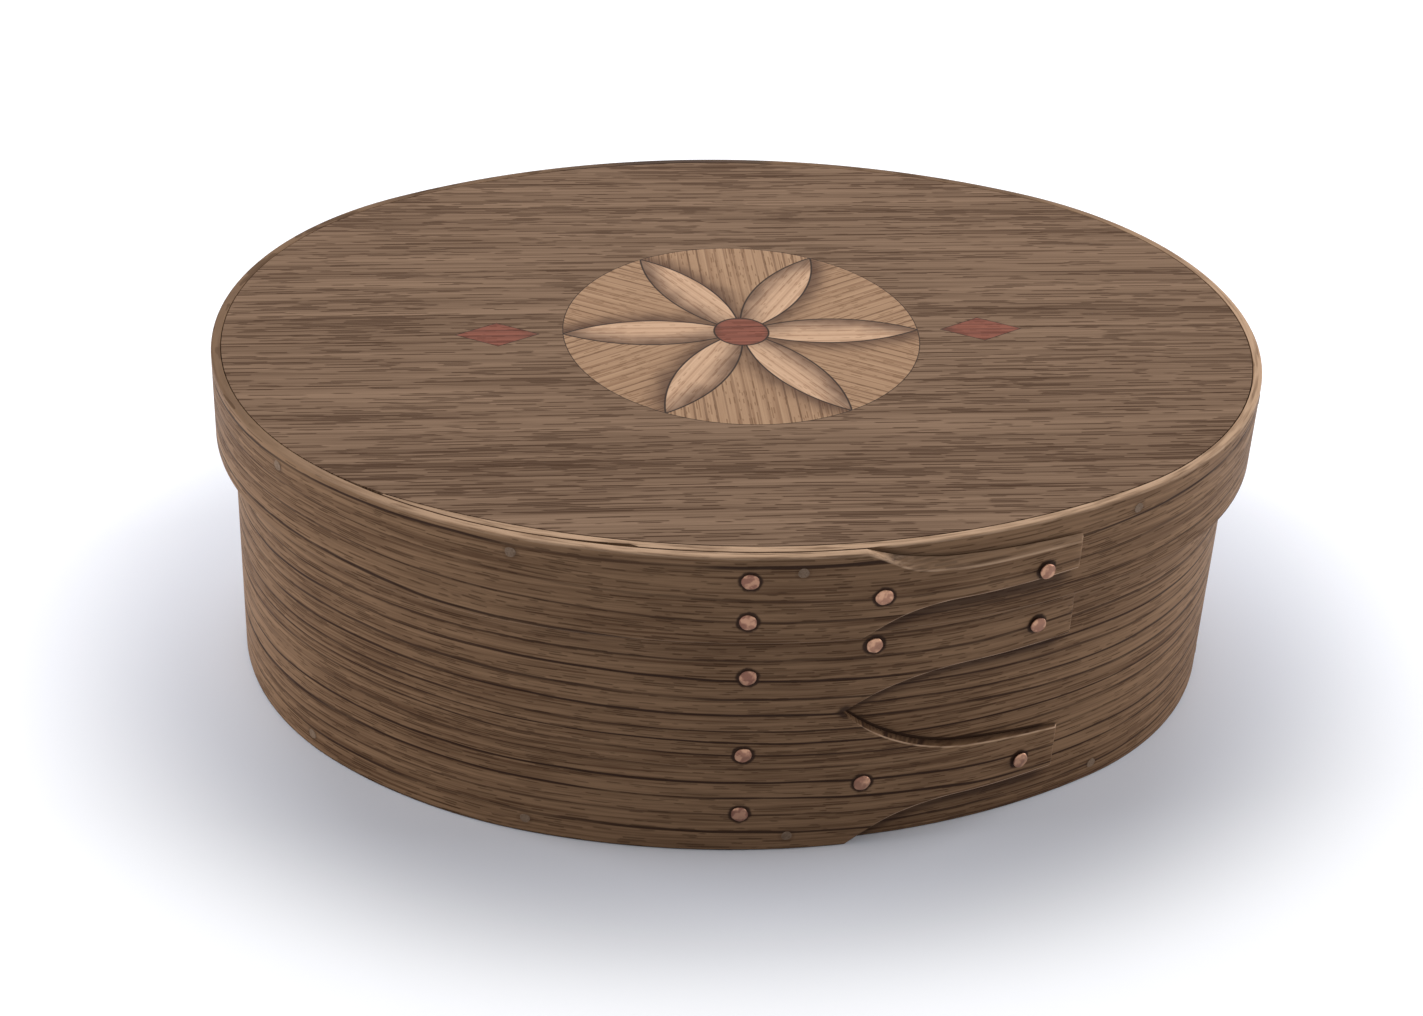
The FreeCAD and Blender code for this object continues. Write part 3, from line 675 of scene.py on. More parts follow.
@dataclass(frozen=True)
class InlayFinish(WoodFinish):
    """Veneer let into the board, scorched to a shade at one edge, with a thin dark joint round it."""

    pore_matt: float = 0.15
    motif: Motif = Motif.PETAL
    plan: InlayPlan = InlayPlan()
    scorch: Colour = (0.075, 0.034, 0.02)
    scorch_reach: float = 6.0
    scorch_depth: float = 0.85
    scorch_patch: Triple = (5.0, 5.0, 5.0)
    scorch_spread: float = 4.0
    joint: Colour = (0.03, 0.015, 0.009)
    joint_edge: Pair = (0.26, 0.1)
    turn: float = 0.0

    def _gaps(self, surface: Surface, x: Num, y: Num) -> tuple[Num, Num]:
        """How far a point is from the piece's edges.

        Args:
            surface: the material's tree.
            x: along the piece from the middle of the board.
            y: across the piece from there.

        Returns:
            The distance to the nearest edge, and to the part that was held in hot sand.
        """
        plan = self.plan
        spot = surface.combine(x, y)
        out = surface.distance(spot, (0.0, 0.0, 0.0))
        hub = (out - plan.hub_radius).absolute()
        if self.motif is Motif.HUB:
            return hub, hub
        if self.motif is Motif.LOZENGE:
            long, wide = plan.lozenge_length / 2, plan.lozenge_width / 2
            share = (x.absolute() - plan.lozenge_centre).absolute() / long + y.absolute() / wide
            gap = (1.0 - share).absolute() * (long * wide / math.hypot(long, wide))
            return gap, (x.absolute() - (plan.lozenge_centre - long)).absolute()
        lean = math.radians(plan.petal_lean if self.motif is Motif.PETAL else plan.field_lean)
        arcs = []
        for side in (-1, 1):
            centre = (plan.radius * math.cos(lean), side * plan.radius * math.sin(lean), 0.0)
            arcs.append((surface.distance(spot, centre) - plan.radius).absolute())
        gap = arcs[0].least(arcs[1]).least(hub)
        if self.motif is Motif.PETAL:
            return gap, arcs[0]
        return gap.least((out - plan.radius).absolute()), (hub * 0.45).least(arcs[1] * 1.1)

    def paint(self, surface: Surface) -> tuple[Link, Num, Num]:
        """The figure turned along the piece, with its scorched edge and its joint.

        Args:
            surface: the material's tree.

        Returns:
            The colour, the share of pores and the relief.
        """
        place = surface.place(self.follow)
        x, y, z = surface.split(place)
        y = y - self.plan.centre_y
        cos, sin = math.cos(self.turn), math.sin(self.turn)
        along, across = x * cos + y * sin, y * cos - x * sin
        colour, pores, height = self.figure(surface, surface.combine(along, across, z))
        gap, scorched = self._gaps(surface, along, across)
        reach = scorched + (surface.noise(place, self.scorch_patch, 2.0, 6.1) - 0.5) * self.scorch_spread
        colour = surface.mix(reach.step(self.scorch_reach, -1.0) * self.scorch_depth, colour, self.scorch)
        return surface.mix(gap.step(*self.joint_edge), colour, self.joint), pores, height


# Plan of the box


@dataclass(frozen=True)
class Arc:
    """A counter-clockwise arc in plan, in millimetres and degrees."""

    centre: Pair
    radius: float
    start: float
    end: float

    @property
    def length(self) -> float:
        """Length along the arc."""
        return self.radius * math.radians(self.end - self.start)

    def outward(self, run: float) -> Pair:
        """The unit vector that points away from the centre, at a length along the arc."""
        angle = math.radians(self.start) + run / self.radius
        return math.cos(angle), math.sin(angle)

    def point(self, run: float) -> Pair:
        """The point at a length along the arc."""
        x, y = self.outward(run)
        return self.centre[0] + self.radius * x, self.centre[1] + self.radius * y


@dataclass(frozen=True)
class OvalPlan:
    """An oval of four tangent arcs, with its centre at the origin. Lengths in millimetres."""

    half_length: float = 100.0
    half_width: float = 73.75
    end_radius: float = 64.5

    @property
    def end_x(self) -> float:
        """How far the centres of the end arcs lie from the middle."""
        return self.half_length - self.end_radius

    @property
    def side_y(self) -> float:
        """How far the centres of the side arcs lie from the middle."""
        total = self.half_length + self.half_width - 2 * self.end_radius
        return (self.half_length - self.half_width) * total / (2 * (self.half_width - self.end_radius))

    @property
    def join(self) -> float:
        """Angle from the Y axis at which side arc and end arc meet, in degrees."""
        return math.degrees(math.atan2(self.end_x, self.side_y))

    def ring(self, offset: float) -> list[Arc]:
        """The oval at an offset.

        Args:
            offset: how far outside the oval.

        Returns:
            Its four arcs, from the front left joint round.
        """
        wide, tight, join = self.side_y + self.half_width + offset, self.end_radius + offset, self.join
        return [
            Arc((0.0, self.side_y), wide, 270 - join, 270 + join),
            Arc((self.end_x, 0.0), tight, join - 90, 90 - join),
            Arc((0.0, -self.side_y), wide, 90 - join, 90 + join),
            Arc((-self.end_x, 0.0), tight, 90 + join, 270 - join),
        ]

    def at(self, offset: float, arc: float) -> tuple[Pair, Pair]:
        """A place on the offset oval.

        Args:
            offset: how far outside the oval.
            arc: length from the middle of the front, positive to the right.

        Returns:
            The point and the unit vector that points outwards.
        """
        part, *others = self.ring(offset)
        run = (arc + part.length / 2) % sum(each.length for each in (part, *others))
        while others and run > part.length:
            run -= part.length
            part = others.pop(0)
        return part.point(run), part.outward(run)


PLAN = OvalPlan()


def smooth_step(value: float, low: float, high: float) -> float:
    """A smooth climb from 0 at low to 1 at high."""
    share = min(1.0, max(0.0, (value - low) / (high - low)))
    return share * share * (3 - 2 * share)


@dataclass(frozen=True)
class FingerEdge:
    """One long edge of a finger: an arc from its root that runs into a straight line to its tip."""

    root: Pair
    waist: Pair
    tip: Pair

    def circle(self) -> tuple[Pair, float, float, float]:
        """Work out the edge's two parts.

        Returns:
            The arc's centre and radius, the line's slope, and whether the arc lies over (1) or under (-1)
            its centre.
        """
        slope = (self.tip[1] - self.waist[1]) / (self.tip[0] - self.waist[0])
        run = (self.root[0] - self.waist[0], self.root[1] - self.waist[1])
        scale = (run[0] ** 2 + run[1] ** 2) / (2 * (run[1] - run[0] * slope))
        centre = (self.waist[0] - scale * slope, self.waist[1] + scale)
        sign = -1.0 if self.root[1] < centre[1] else 1.0
        return centre, abs(scale) * math.hypot(slope, 1.0), slope, sign

    def height(self, x: float) -> float:
        """How high the edge stands.

        Args:
            x: distance from the middle of the front, in millimetres.

        Returns:
            The height over the strip's foot, in millimetres.
        """
        centre, radius, slope, sign = self.circle()
        if x >= self.waist[0]:
            return self.waist[1] + slope * (x - self.waist[0])
        return centre[1] + sign * math.sqrt(max(0.0, radius**2 - (x - centre[0]) ** 2))


@dataclass(frozen=True)
class Half:
    """The lower or the upper half of a strip.

    Its rim is the finger's edge that runs on from the strip's edge. Its wall is the finger's other edge, from
    the valley, and is None where both halves share one finger.
    """

    lower: bool
    rim: FingerEdge
    wall: FingerEdge | None = None
    bevel: Pair = (0.8, 0.6)
    wall_bevel: Pair = (0.3, 0.25)
    # Tones of the inner and outer finger edges: above 0 paler from use, below 0 painted shade.
    wall_wear_and_shade: float = 0.12
    bevel_wear_and_shade: float = 0.12


@dataclass(frozen=True)
class Corner:
    """One corner of a strip's section: its place, its rounding, and the tone of its face and of its rounded
    edge, paler from use above 0 and darker below 0, which is painted shade at the box's foot and finger edges
    and dark joints at the seams.
    """

    out: float
    height: float
    rounding: float
    face_tone: float
    arris: float


def blend(first: float, second: float, share: float) -> float:
    """A number between two others."""
    return first + (second - first) * share


# Meshes


def link(name: str, data: bpy.types.ID) -> bpy.types.Object:
    """Put a mesh, curve, light or camera into the scene as an object."""
    made = bpy.data.objects.new(name, data)
    bpy.context.collection.objects.link(made)
    return made


def quads(rows: Sequence[Sequence[Any]]) -> Iterator[tuple[int, tuple[Any, ...]]]:
    """Walk the faces between closed rows of points.

    Args:
        rows: the rows, each with as many points.

    Yields:
        The number of the face's first row, and its four corners.
    """
    for index, (first, second) in enumerate(zip(rows, rows[1:])):
        for low in range(len(first)):
            high = (low + 1) % len(first)
            yield index, (first[low], first[high], second[high], second[low])


def keep(made: bmesh.types.BMesh, name: str) -> bpy.types.Mesh:
    """Turn a mesh in the making into a named one.

    Args:
        made: the mesh in the making, which is freed.
        name: the new mesh's name.

    Returns:
        The new mesh.
    """
    mesh = bpy.data.meshes.new(name)
    made.to_mesh(mesh)
    made.free()
    return mesh


def turned(name: str, rings: Sequence[Sequence[Triple]], tip: float) -> bpy.types.Mesh:
    """Make a solid from a stack of rings.

    Args:
        name: the mesh's name.
        rings: the points of each ring, from the foot up, in millimetres.
        tip: height of the point that closes the last ring.

    Returns:
        The closed mesh.
    """
    made = bmesh.new()
    rows = [[made.verts.new([value * MM for value in point]) for point in ring] for ring in rings]
    for _, corners in quads(rows):
        made.faces.new(corners)
    top = made.verts.new((0.0, 0.0, tip * MM))
    for step, vertex in enumerate(rows[-1]):
        made.faces.new((vertex, rows[-1][(step + 1) % len(rows[-1])], top))
    made.faces.new(rows[0][::-1])
    return keep(made, name)


@dataclass
class BentBand:
    """A thin strip bent round an oval, with swallowtail fingers at its outer end. Lengths in millimetres."""

    name: str
    body: str
    node: str
    height: float
    halves: tuple[Half, Half]
    root: float
    tip: float
    valley: float | None = None
    offset: float = 0.0
    seat: Pair = (0.0, 0.0)
    thick: float = 1.9
    gap: float = 0.1
    ease: float = 0.03
    ramp: float = 95.0
    lead: float = 3.5
    feather: float = 45.0
    rim_round: float = 0.4
    foot_round: float = 0.45
    bevel_round: float = 0.32
    joint_round: float = 0.3
    wall_round: float = 0.3
    wall_joint: float = 0.12
    deepest_bevel: float = 1.1
    tip_thick: float = 1.15
    tip_taper: float = 24.0
    tip_round: float = 0.9
    tip_squeeze: float = 0.55
    rim_wear: float = 1.0
    # Tone of the foot edge: above 0 paler from use, below 0 a painted contact shadow where the band stands on
    # the table.
    foot_wear_and_shade: float = 0.3
    arris_wear: float = 1.0
    hidden_wear: float = -0.8
    hidden_round: float = 0.7
    seam_wear: Pair = (-0.15, -0.65)
    root_run: float = 10.0
    valley_run: float = 8.0
    hidden_run: float = 5.0
    coarse: float = 1.8
    fine: float = 0.85
    fine_from: float = 4.0

    def __post_init__(self) -> None:
        """Lay out the path of the strip's inner face, from its feathered start to its finger tips."""
        front, right, back, left = PLAN.ring(self.offset)
        self.lap_radius = front.radius + self.thick + self.gap
        near, far = self.ramp - left.radius, self.lap_radius - self.ramp
        apart = math.hypot(PLAN.end_x, PLAN.side_y)
        turn = math.degrees(math.acos((near**2 + apart**2 - far**2) / (2 * near * apart)))
        back_turn = math.degrees(math.acos((far**2 + apart**2 - near**2) / (2 * far * apart)))
        joint = 270 - PLAN.join
        lift = math.radians(joint - turn)
        self.ramp_centre = (-PLAN.end_x - near * math.cos(lift), -near * math.sin(lift))
        begin = joint - math.degrees(2 * math.asin(self.lead / 2 / left.radius))
        self.lap_angle = joint + back_turn
        reach = 270 + math.degrees(math.asin(self.tip / (self.lap_radius + self.thick)))
        self.path = [
            Arc(left.centre, left.radius, begin, joint),
            front,
            right,
            back,
            Arc(left.centre, left.radius, left.start, joint - turn),
            Arc(self.ramp_centre, self.ramp, joint - turn, self.lap_angle),
            Arc(front.centre, self.lap_radius, self.lap_angle, reach),
        ]
        self.lap_run = sum(arc.length for arc in self.path[:-1])

    @property
    def length(self) -> float:
        """Length of the strip's inner face."""
        return sum(arc.length for arc in self.path)

    def run_at(self, x: float) -> float:
        """Length along the strip at which the lap's outer face stands at x."""
        angle = 270 + math.degrees(math.asin(x / (self.lap_radius + self.thick)))
        return self.lap_run + self.lap_radius * math.radians(angle - self.lap_angle)

    def lap_x(self, run: float) -> float:
        """Where the lap's outer face stands.

        Args:
            run: length along the strip, in millimetres.

        Returns:
            Distance from the middle of the front, or minus infinity before the lap.
        """
        if run < self.lap_run:
            return -math.inf
        angle = math.radians(self.lap_angle - 270) + (run - self.lap_run) / self.lap_radius
        return (self.lap_radius + self.thick) * math.sin(angle)

    def spot(self, arc: float, height: float) -> Place:
        """A place on the lap's outer face.

        Args:
            arc: length along the face from the middle of the front.
            height: height over the floor.

        Returns:
            The point and the unit vector that points outwards.
        """
        radius = self.lap_radius + self.thick
        angle = arc / radius
        out = Vector((math.sin(angle), -math.cos(angle), 0.0))
        return Vector((0.0, PLAN.side_y + self.seat[0], height)) + out * radius, out

    def peg_places(self, count: int, arcs: Pair, height: float) -> list[Place]:
        """Where the pegs of a board come through the band.

        Args:
            count: how many there are.
            arcs: lengths along the outer face, from the middle of the front, of the first peg on either side.
            height: height over the floor.

        Returns:
            Each peg's place on the band's outer face and the way it faces.
        """
        outside = self.offset + self.thick
        whole = sum(arc.length for arc in PLAN.ring(outside))
        step = (whole - arcs[1] + arcs[0]) / (count - 1)
        places = []
        for index in range(count):
            (x, y), out = PLAN.at(outside, arcs[0] - index * step)
            way = Vector((*out, 0.0))
            lap = self.thick + self.gap if abs(x) < self.tip and y < 0 else 0.0
            places.append((Vector((x, y + self.seat[0], height)) + way * lap, way))
        return places

    def feet(self) -> tuple[tuple[FingerEdge, bool], ...]:
        """The fingers' edges, each with whether the layer beneath shows below it."""
        rims = [(half.rim, half.lower) for half in self.halves]
        return (*rims, *((half.wall, not half.lower) for half in self.halves if half.wall is not None))

    def depth(self, run: float) -> float:
        """How thick the strip is, thin at its feathered start and towards its finger tips.

        Args:
            run: length along the strip.

        Returns:
            The thickness there.
        """
        lead, front = self.path[:2]
        if run < lead.length + self.feather:
            arc, along = (lead, run) if run < lead.length else (front, run - lead.length)
            (x, y), (out_x, out_y) = arc.point(along), arc.outward(along)
            away = (x - self.ramp_centre[0], y - self.ramp_centre[1])
            inward = away[0] * out_x + away[1] * out_y
            reach = self.ramp - self.gap
            room = -inward + math.sqrt(inward**2 - away[0] ** 2 - away[1] ** 2 + reach**2)
            return min(self.thick, room) - self.ease
        x = self.lap_x(run)
        deep = blend(self.thick, self.tip_thick, smooth_step(x, self.tip - self.tip_taper, self.tip))
        squeezed = self.tip_squeeze * smooth_step(x, self.tip - self.tip_round, self.tip) ** 2
        return deep * (1 - squeezed) - self.ease

    def runs(self) -> list[float]:
        """Find the lengths at which the strip gets a row of points, closer together at its fingers.

        Returns:
            The lengths in order, in millimetres.
        """
        start, end = self.run_at(self.root if self.valley is None else self.valley), self.length
        first = start - self.fine_from
        close = {0.0, start, end, self.run_at(self.root), self.lap_run}
        close.update(end - step for step in (0.2, 0.4, 0.6, 0.8))
        close.update(start + step for step in (0.1, 0.25, 0.5))
        close.update(self.coarse * step for step in range(int(first / self.coarse)))
        close.update(first + self.fine * step for step in range(int((end - start + 3.0) / self.fine)))
        return sorted(close)

    def section(self, half: Half, run: float) -> list[Triple]:
        """Cut across one half of the strip.

        Args:
            half: the lower or the upper half.
            run: length along the strip.

        Returns:
            A closed loop of points: place outwards, height and tone, where a tone below 0 darkens the edge,
                as painted shade at the box's foot and finger edges and as dark joints at the seams.
        """
        x, deep = self.lap_x(run), self.depth(run)
        finger = smooth_step(x, self.root, self.root + self.root_run)
        taper = smooth_step(x, self.root + self.root_run, self.tip)
        opening = self.path[0].length + self.path[1].length / 2 + self.root
        covered = 1.0 - smooth_step(run, opening, opening + self.hidden_run)
        lapped = covered if run < self.lap_run else 1.0
        rounding = (self.foot_round if half.lower else self.rim_round) * (1 - self.hidden_round * covered)
        # Tones of faces and edges: above 0 paler from use, below 0 darker, which is painted shade at the
        # box's foot and finger edges and dark joints at the seams.
        flat = self.foot_wear_and_shade if half.lower else self.rim_wear
        face_tone = blend(flat, half.bevel_wear_and_shade, finger)
        arris = blend(blend(flat * 0.9, self.hidden_wear, covered), self.arris_wear, finger)
        seam = self.seam_wear[0] + self.seam_wear[1] * lapped * (1 - finger)
        edge = 0.0 if half.lower else self.height
        if x > self.root:
            edge = half.rim.height(x)
        bevel = finger * min(self.deepest_bevel * deep, blend(*half.bevel, taper))
        wall, wall_bevel, opened = self.height / 2, 0.0, 0.0
        if half.wall is not None and self.valley is not None and x > self.valley:
            opened = smooth_step(x, self.valley, self.valley + self.valley_run)
            wall = half.wall.height(x)
            wall_bevel = opened * min(self.deepest_bevel * deep, blend(*half.wall_bevel, taper))
        inwards, wall_tone = (1.0 if half.lower else -1.0), half.wall_wear_and_shade * opened
        wall_round, wall_arris = self.wall_round * opened, self.arris_wear * opened
        corners = [
            Corner(0.0, edge, self.joint_round, face_tone, seam),
            Corner(deep, edge + inwards * bevel, blend(rounding, self.bevel_round, finger), face_tone, arris),
            Corner(deep, wall - inwards * wall_bevel, wall_round, 0.2 * wall_tone, wall_arris),
            Corner(0.0, wall, self.wall_joint * opened, wall_tone, 0.0),
        ]
        return self.loop(corners if half.lower else corners[::-1], deep)

    @staticmethod
    def loop(corners: Sequence[Corner], deep: float) -> list[Triple]:
        """Round four corners and join them.

        Args:
            corners: inside low, outside low, outside high and inside high.
            deep: thickness there.

        Returns:
            The closed loop of points: place outwards, height and tone.
        """
        places = [Vector((corner.out, corner.height)) for corner in corners]
        rounds = [min(corner.rounding, 0.42 * deep) for corner in corners]
        points: list[Triple] = []
        for index, corner in enumerate(corners):
            place, following = places[index], (index + 1) % 4
            before = (places[index - 1] - place).normalized() * rounds[index]
            ahead = (places[following] - place).normalized()
            after = ahead * rounds[index]
            edge_tones = [0.0, corner.arris, corner.arris, corner.face_tone]
            for share, edge_tone in zip((0.0, 0.33, 0.67, 1.0), edge_tones if index % 2 == 0 else edge_tones[::-1]):
                point = place + before * (1 - share) ** 2 + after * share**2
                points.append((point.x, point.y, edge_tone))
            if index % 2 == 1:
                start, stop = place + after, places[following] - ahead * rounds[following]
                brink = min(0.4, 0.5 / (stop - start).length)
                rows = [start.lerp(stop, share) for share in (brink, 0.5, 1 - brink)]
                points += [(row.x, row.y, 0.0) for row in rows]
        return points

    def flat_mesh(self) -> bpy.types.Mesh:
        """Lay the strip out flat, before it is bent.

        Returns:
            Its mesh: along X, outwards along Y and up along Z.
        """
        made = bmesh.new()
        edge_tone = made.verts.layers.float.new("edge")
        runs = self.runs()
        parts_at = len(runs) if self.valley is None else runs.index(self.run_at(self.valley))
        middle = self.height / 2 * MM
        for half in self.halves:
            rows = []
            for run in runs:
                row = []
                for out, height, amount in self.section(half, run):
                    vertex = made.verts.new((run * MM, out * MM, height * MM))
                    vertex[edge_tone] = amount
                    row.append(vertex)
                rows.append(row)
            for index, corners in quads(rows):
                inside = all(abs(corner.co.z - middle) < 1e-9 for corner in corners)
                if index >= parts_at or not inside:
                    made.faces.new(corners)
            made.faces.new(rows[0])
            made.faces.new(rows[-1])
        bmesh.ops.remove_doubles(made, verts=made.verts, dist=1e-7)
        bmesh.ops.dissolve_degenerate(made, edges=made.edges, dist=1e-8)
        bmesh.ops.recalc_face_normals(made, faces=made.faces)
        return keep(made, self.name)

    def path_object(self, spacing: float = 0.7) -> bpy.types.Object:
        """Draw the line that the strip's inner face follows.

        Args:
            spacing: about how far apart its points are.

        Returns:
            The line as a curve.
        """
        points: list[Pair] = []
        for arc in self.path:
            count = max(2, round(arc.length / spacing))
            points.extend(arc.point(arc.length * step / count) for step in range(count))
        points.append(self.path[-1].point(self.path[-1].length))
        data = bpy.data.curves.new(self.name + "_path", "CURVE")
        data.dimensions = "3D"
        line = data.splines.new("POLY")
        line.points.add(len(points) - 1)
        for point, (x, y) in zip(line.points, points):
            point.co = (x * MM, (y + self.seat[0]) * MM, self.seat[1] * MM, 1.0)
        return link(self.name + "_path", data)

    def build(self, finish: bpy.types.Material) -> bpy.types.Object:
        """Make the strip flat, bend it along its path and stand it on its body.

        Args:
            finish: the strip's material.

        Returns:
            The finished piece.
        """
        flat, path = link(self.name + "_flat", self.flat_mesh()), self.path_object()
        mesh = evaluate(flat, bending_tree(), {"Path": path, "Material": finish})
        bpy.data.objects.remove(path)
        bpy.data.objects.remove(flat)
        return settle(self.name, mesh, self.body, [self.node], crease=40.0)


# Bending and repeating


def begin_tree(name: str, kinds: Mapping[str, str]) -> tuple[Graph, Any]:
    """Start a Geometry Nodes tree, which takes a shape, a material and what else it needs.

    Args:
        name: the tree's name.
        kinds: the kind of socket for each further named input.

    Returns:
        The tree, and the outputs of its input node.
    """
    graph = Graph(bpy.data.node_groups.new(name, "GeometryNodeTree"))
    sockets = graph.tree.interface
    sockets.new_socket("Geometry", in_out="OUTPUT", socket_type="NodeSocketGeometry")
    for title, kind in {"Geometry": "Geometry", **kinds, "Material": "Material"}.items():
        sockets.new_socket(title, in_out="INPUT", socket_type="NodeSocket" + kind)
    return graph, graph.node("NodeGroupInput").outputs


def end_tree(graph: Graph, shape: Link, material: bpy.types.NodeSocket) -> bpy.types.NodeTree:
    """Close a Geometry Nodes tree.

    Args:
        graph: the tree.
        shape: what it has made.
        material: the material that the shape gets.

    Returns:
        The finished tree.
    """
    whole = graph.node("GeometryNodeRealizeInstances", inputs={0: shape})
    dressed = graph.node("GeometryNodeSetMaterial", inputs={"Geometry": whole, "Material": material})
    graph.node("NodeGroupOutput", inputs={0: dressed})
    return graph.tree


def bending_tree() -> bpy.types.NodeTree:
    """Make a tree that bends a flat strip along a path and keeps its flat coordinates for the wood's figure.

    The path runs counter-clockwise with the strip's outer face on its right, which mirrors the strip, so the
    faces are turned back at the end.

    Returns:
        The tree.
    """
    graph, given = begin_tree("bend_strip", {"Path": "Object"})
    flat = graph.node("GeometryNodeInputPosition")
    along, out, height = graph.split(flat)
    kept = graph.node(
        "GeometryNodeStoreNamedAttribute",
        {"data_type": "FLOAT_VECTOR", "domain": "POINT"},
        {"Geometry": given["Geometry"], "Name": "strip", "Value": flat},
    )
    path = graph.node("GeometryNodeObjectInfo", {"transform_space": "RELATIVE"}, {"Object": given["Path"]})
    sample = graph.node(
        "GeometryNodeSampleCurve",
        {"mode": "LENGTH", "use_all_curves": True},
        {"Curves": path.outputs["Geometry"], "Length": along},
    ).outputs
    outward = graph.vector("NORMALIZE", graph.vector("CROSS_PRODUCT", sample["Tangent"], tuple(UP)))
    moved = graph.vector("MULTIPLY_ADD", outward, out, sample["Position"])
    lifted = graph.vector("ADD", moved, graph.combine(0.0, 0.0, height))
    placed = graph.node("GeometryNodeSetPosition", inputs={"Geometry": kept, "Position": lifted})
    facing = graph.node("GeometryNodeFlipFaces", inputs={"Mesh": placed})
    return end_tree(graph, facing, given["Material"])


def fastener_tree() -> bpy.types.NodeTree:
    """Make a tree that sets one of several shapes on each point, turned to face the way the point does.

    Returns:
        The tree.
    """
    kinds = {"Shapes": "Collection", "Size spread": "Float", "Turn": "Float", "Seed": "Int"}
    graph, given = begin_tree("set_fasteners", kinds)
    taken = {"Collection": given["Shapes"], "Separate Children": True, "Reset Children": True}
    shapes = graph.node("GeometryNodeCollectionInfo", inputs=taken)
    way = graph.node("GeometryNodeInputNamedAttribute", {"data_type": "FLOAT_VECTOR"}, {"Name": "facing"})
    aim = {"Vector": way.outputs["Attribute"]}
    facing = graph.node("FunctionNodeAlignRotationToVector", {"axis": "Z"}, aim)
    index = graph.node("GeometryNodeInputIndex")
    chance = {"data_type": "FLOAT"}
    turns = {"Min": 0.0, "Max": given["Turn"], "ID": index, "Seed": given["Seed"]}
    spin = graph.node("FunctionNodeRandomValue", chance, turns).outputs["Value"]
    axis = graph.node("FunctionNodeAxisAngleToRotation", inputs={"Axis": tuple(UP), "Angle": spin})
    both = graph.node(
        "FunctionNodeRotateRotation", {"rotation_space": "LOCAL"}, {"Rotation": facing, "Rotate By": axis}
    )
    sizes = {"Min": graph.calculate("SUBTRACT", 1.0, given["Size spread"]), "Max": 1.0, "Seed": given["Seed"]}
    scale = graph.node("FunctionNodeRandomValue", chance, sizes).outputs["Value"]
    chosen = {"Points": given["Geometry"], "Instance": shapes, "Pick Instance": True}
    copies = graph.node("GeometryNodeInstanceOnPoints", inputs={**chosen, "Rotation": both, "Scale": scale})
    return end_tree(graph, copies, given["Material"])


def evaluate(
    carrier: bpy.types.Object, tree: bpy.types.NodeTree, values: Mapping[str, Any]
) -> bpy.types.Mesh:
    """Run a tree on an object.

    Args:
        carrier: the object that the tree starts from.
        tree: the Geometry Nodes tree.
        values: a value for each named input.

    Returns:
        The result as a plain mesh.
    """
    modifier = carrier.modifiers.new("tree", "NODES")
    modifier.node_group = tree
    for item in tree.interface.items_tree:
        if item.in_out == "INPUT" and item.name in values:
            modifier[item.identifier] = values[item.name]
    result = carrier.evaluated_get(bpy.context.evaluated_depsgraph_get())
    mesh = bpy.data.meshes.new_from_object(result)
    carrier.modifiers.remove(modifier)
    return mesh


def settle(
    name: str, mesh: bpy.types.Mesh, body: str, nodes: Sequence[str], crease: float
) -> bpy.types.Object:
    """Make a finished piece from a mesh.

    Args:
        name: the piece's name.
        mesh: its mesh, in place.
        body: the body that it moves with.
        nodes: the solids that it stands for.
        crease: the angle over which an edge looks sharp, in degrees.

    Returns:
        The piece.
    """
    mesh.name = name
    mesh.shade_smooth()
    mesh.set_sharp_from_angle(angle=math.radians(crease))
    piece = link(name, mesh)
    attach(piece, body)
    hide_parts(*nodes)
    LOG.info("%s: %d faces, moves with %s", name, len(mesh.polygons), body)
    return piece


# Tacks and pegs


@dataclass
class Fasteners:
    """Tacks or pegs of one body, each of which faces its own way. Lengths in millimetres."""

    name: str
    body: str
    nodes: tuple[str, ...]
    slot: str
    places: list[Place] = field(default_factory=list)
    seed: int = 4
    spread: float = 0.05
    variants: int = 3
    around: int = 28

    def shape(self, variant: int) -> bpy.types.Mesh:
        """One of the shapes to choose from, with the band's face at the origin and its own face along Z."""
        raise NotImplementedError

    def angles(self) -> list[float]:
        """The angles of the points of one ring."""
        return [2 * math.pi * step / self.around for step in range(self.around)]

    def build(self, finish: bpy.types.Material) -> bpy.types.Object:
        """Set a shape on every place.

        Args:
            finish: the material.

        Returns:
            The finished piece.
        """
        shelf = bpy.data.collections.new(self.name + "_shapes")
        for mesh in map(self.shape, range(self.variants)):
            shelf.objects.link(bpy.data.objects.new(mesh.name, mesh))
        bpy.context.scene.collection.children.link(shelf)
        marks = bpy.data.meshes.new(self.name + "_marks")
        marks.from_pydata([tuple(place * MM) for place, _ in self.places], [], [])
        facing = marks.attributes.new("facing", "FLOAT_VECTOR", "POINT")
        facing.data.foreach_set("vector", [value for _, way in self.places for value in way])
        carrier = link(self.name + "_marks", marks)
        values = {"Shapes": shelf, "Size spread": self.spread, "Turn": 2 * math.pi, "Seed": self.seed}
        mesh = evaluate(carrier, fastener_tree(), {**values, "Material": finish})
        for shape in (*shelf.objects, carrier):
            bpy.data.objects.remove(shape)
        bpy.data.collections.remove(shelf)
        return settle(self.name, mesh, self.body, self.nodes, crease=28.0)


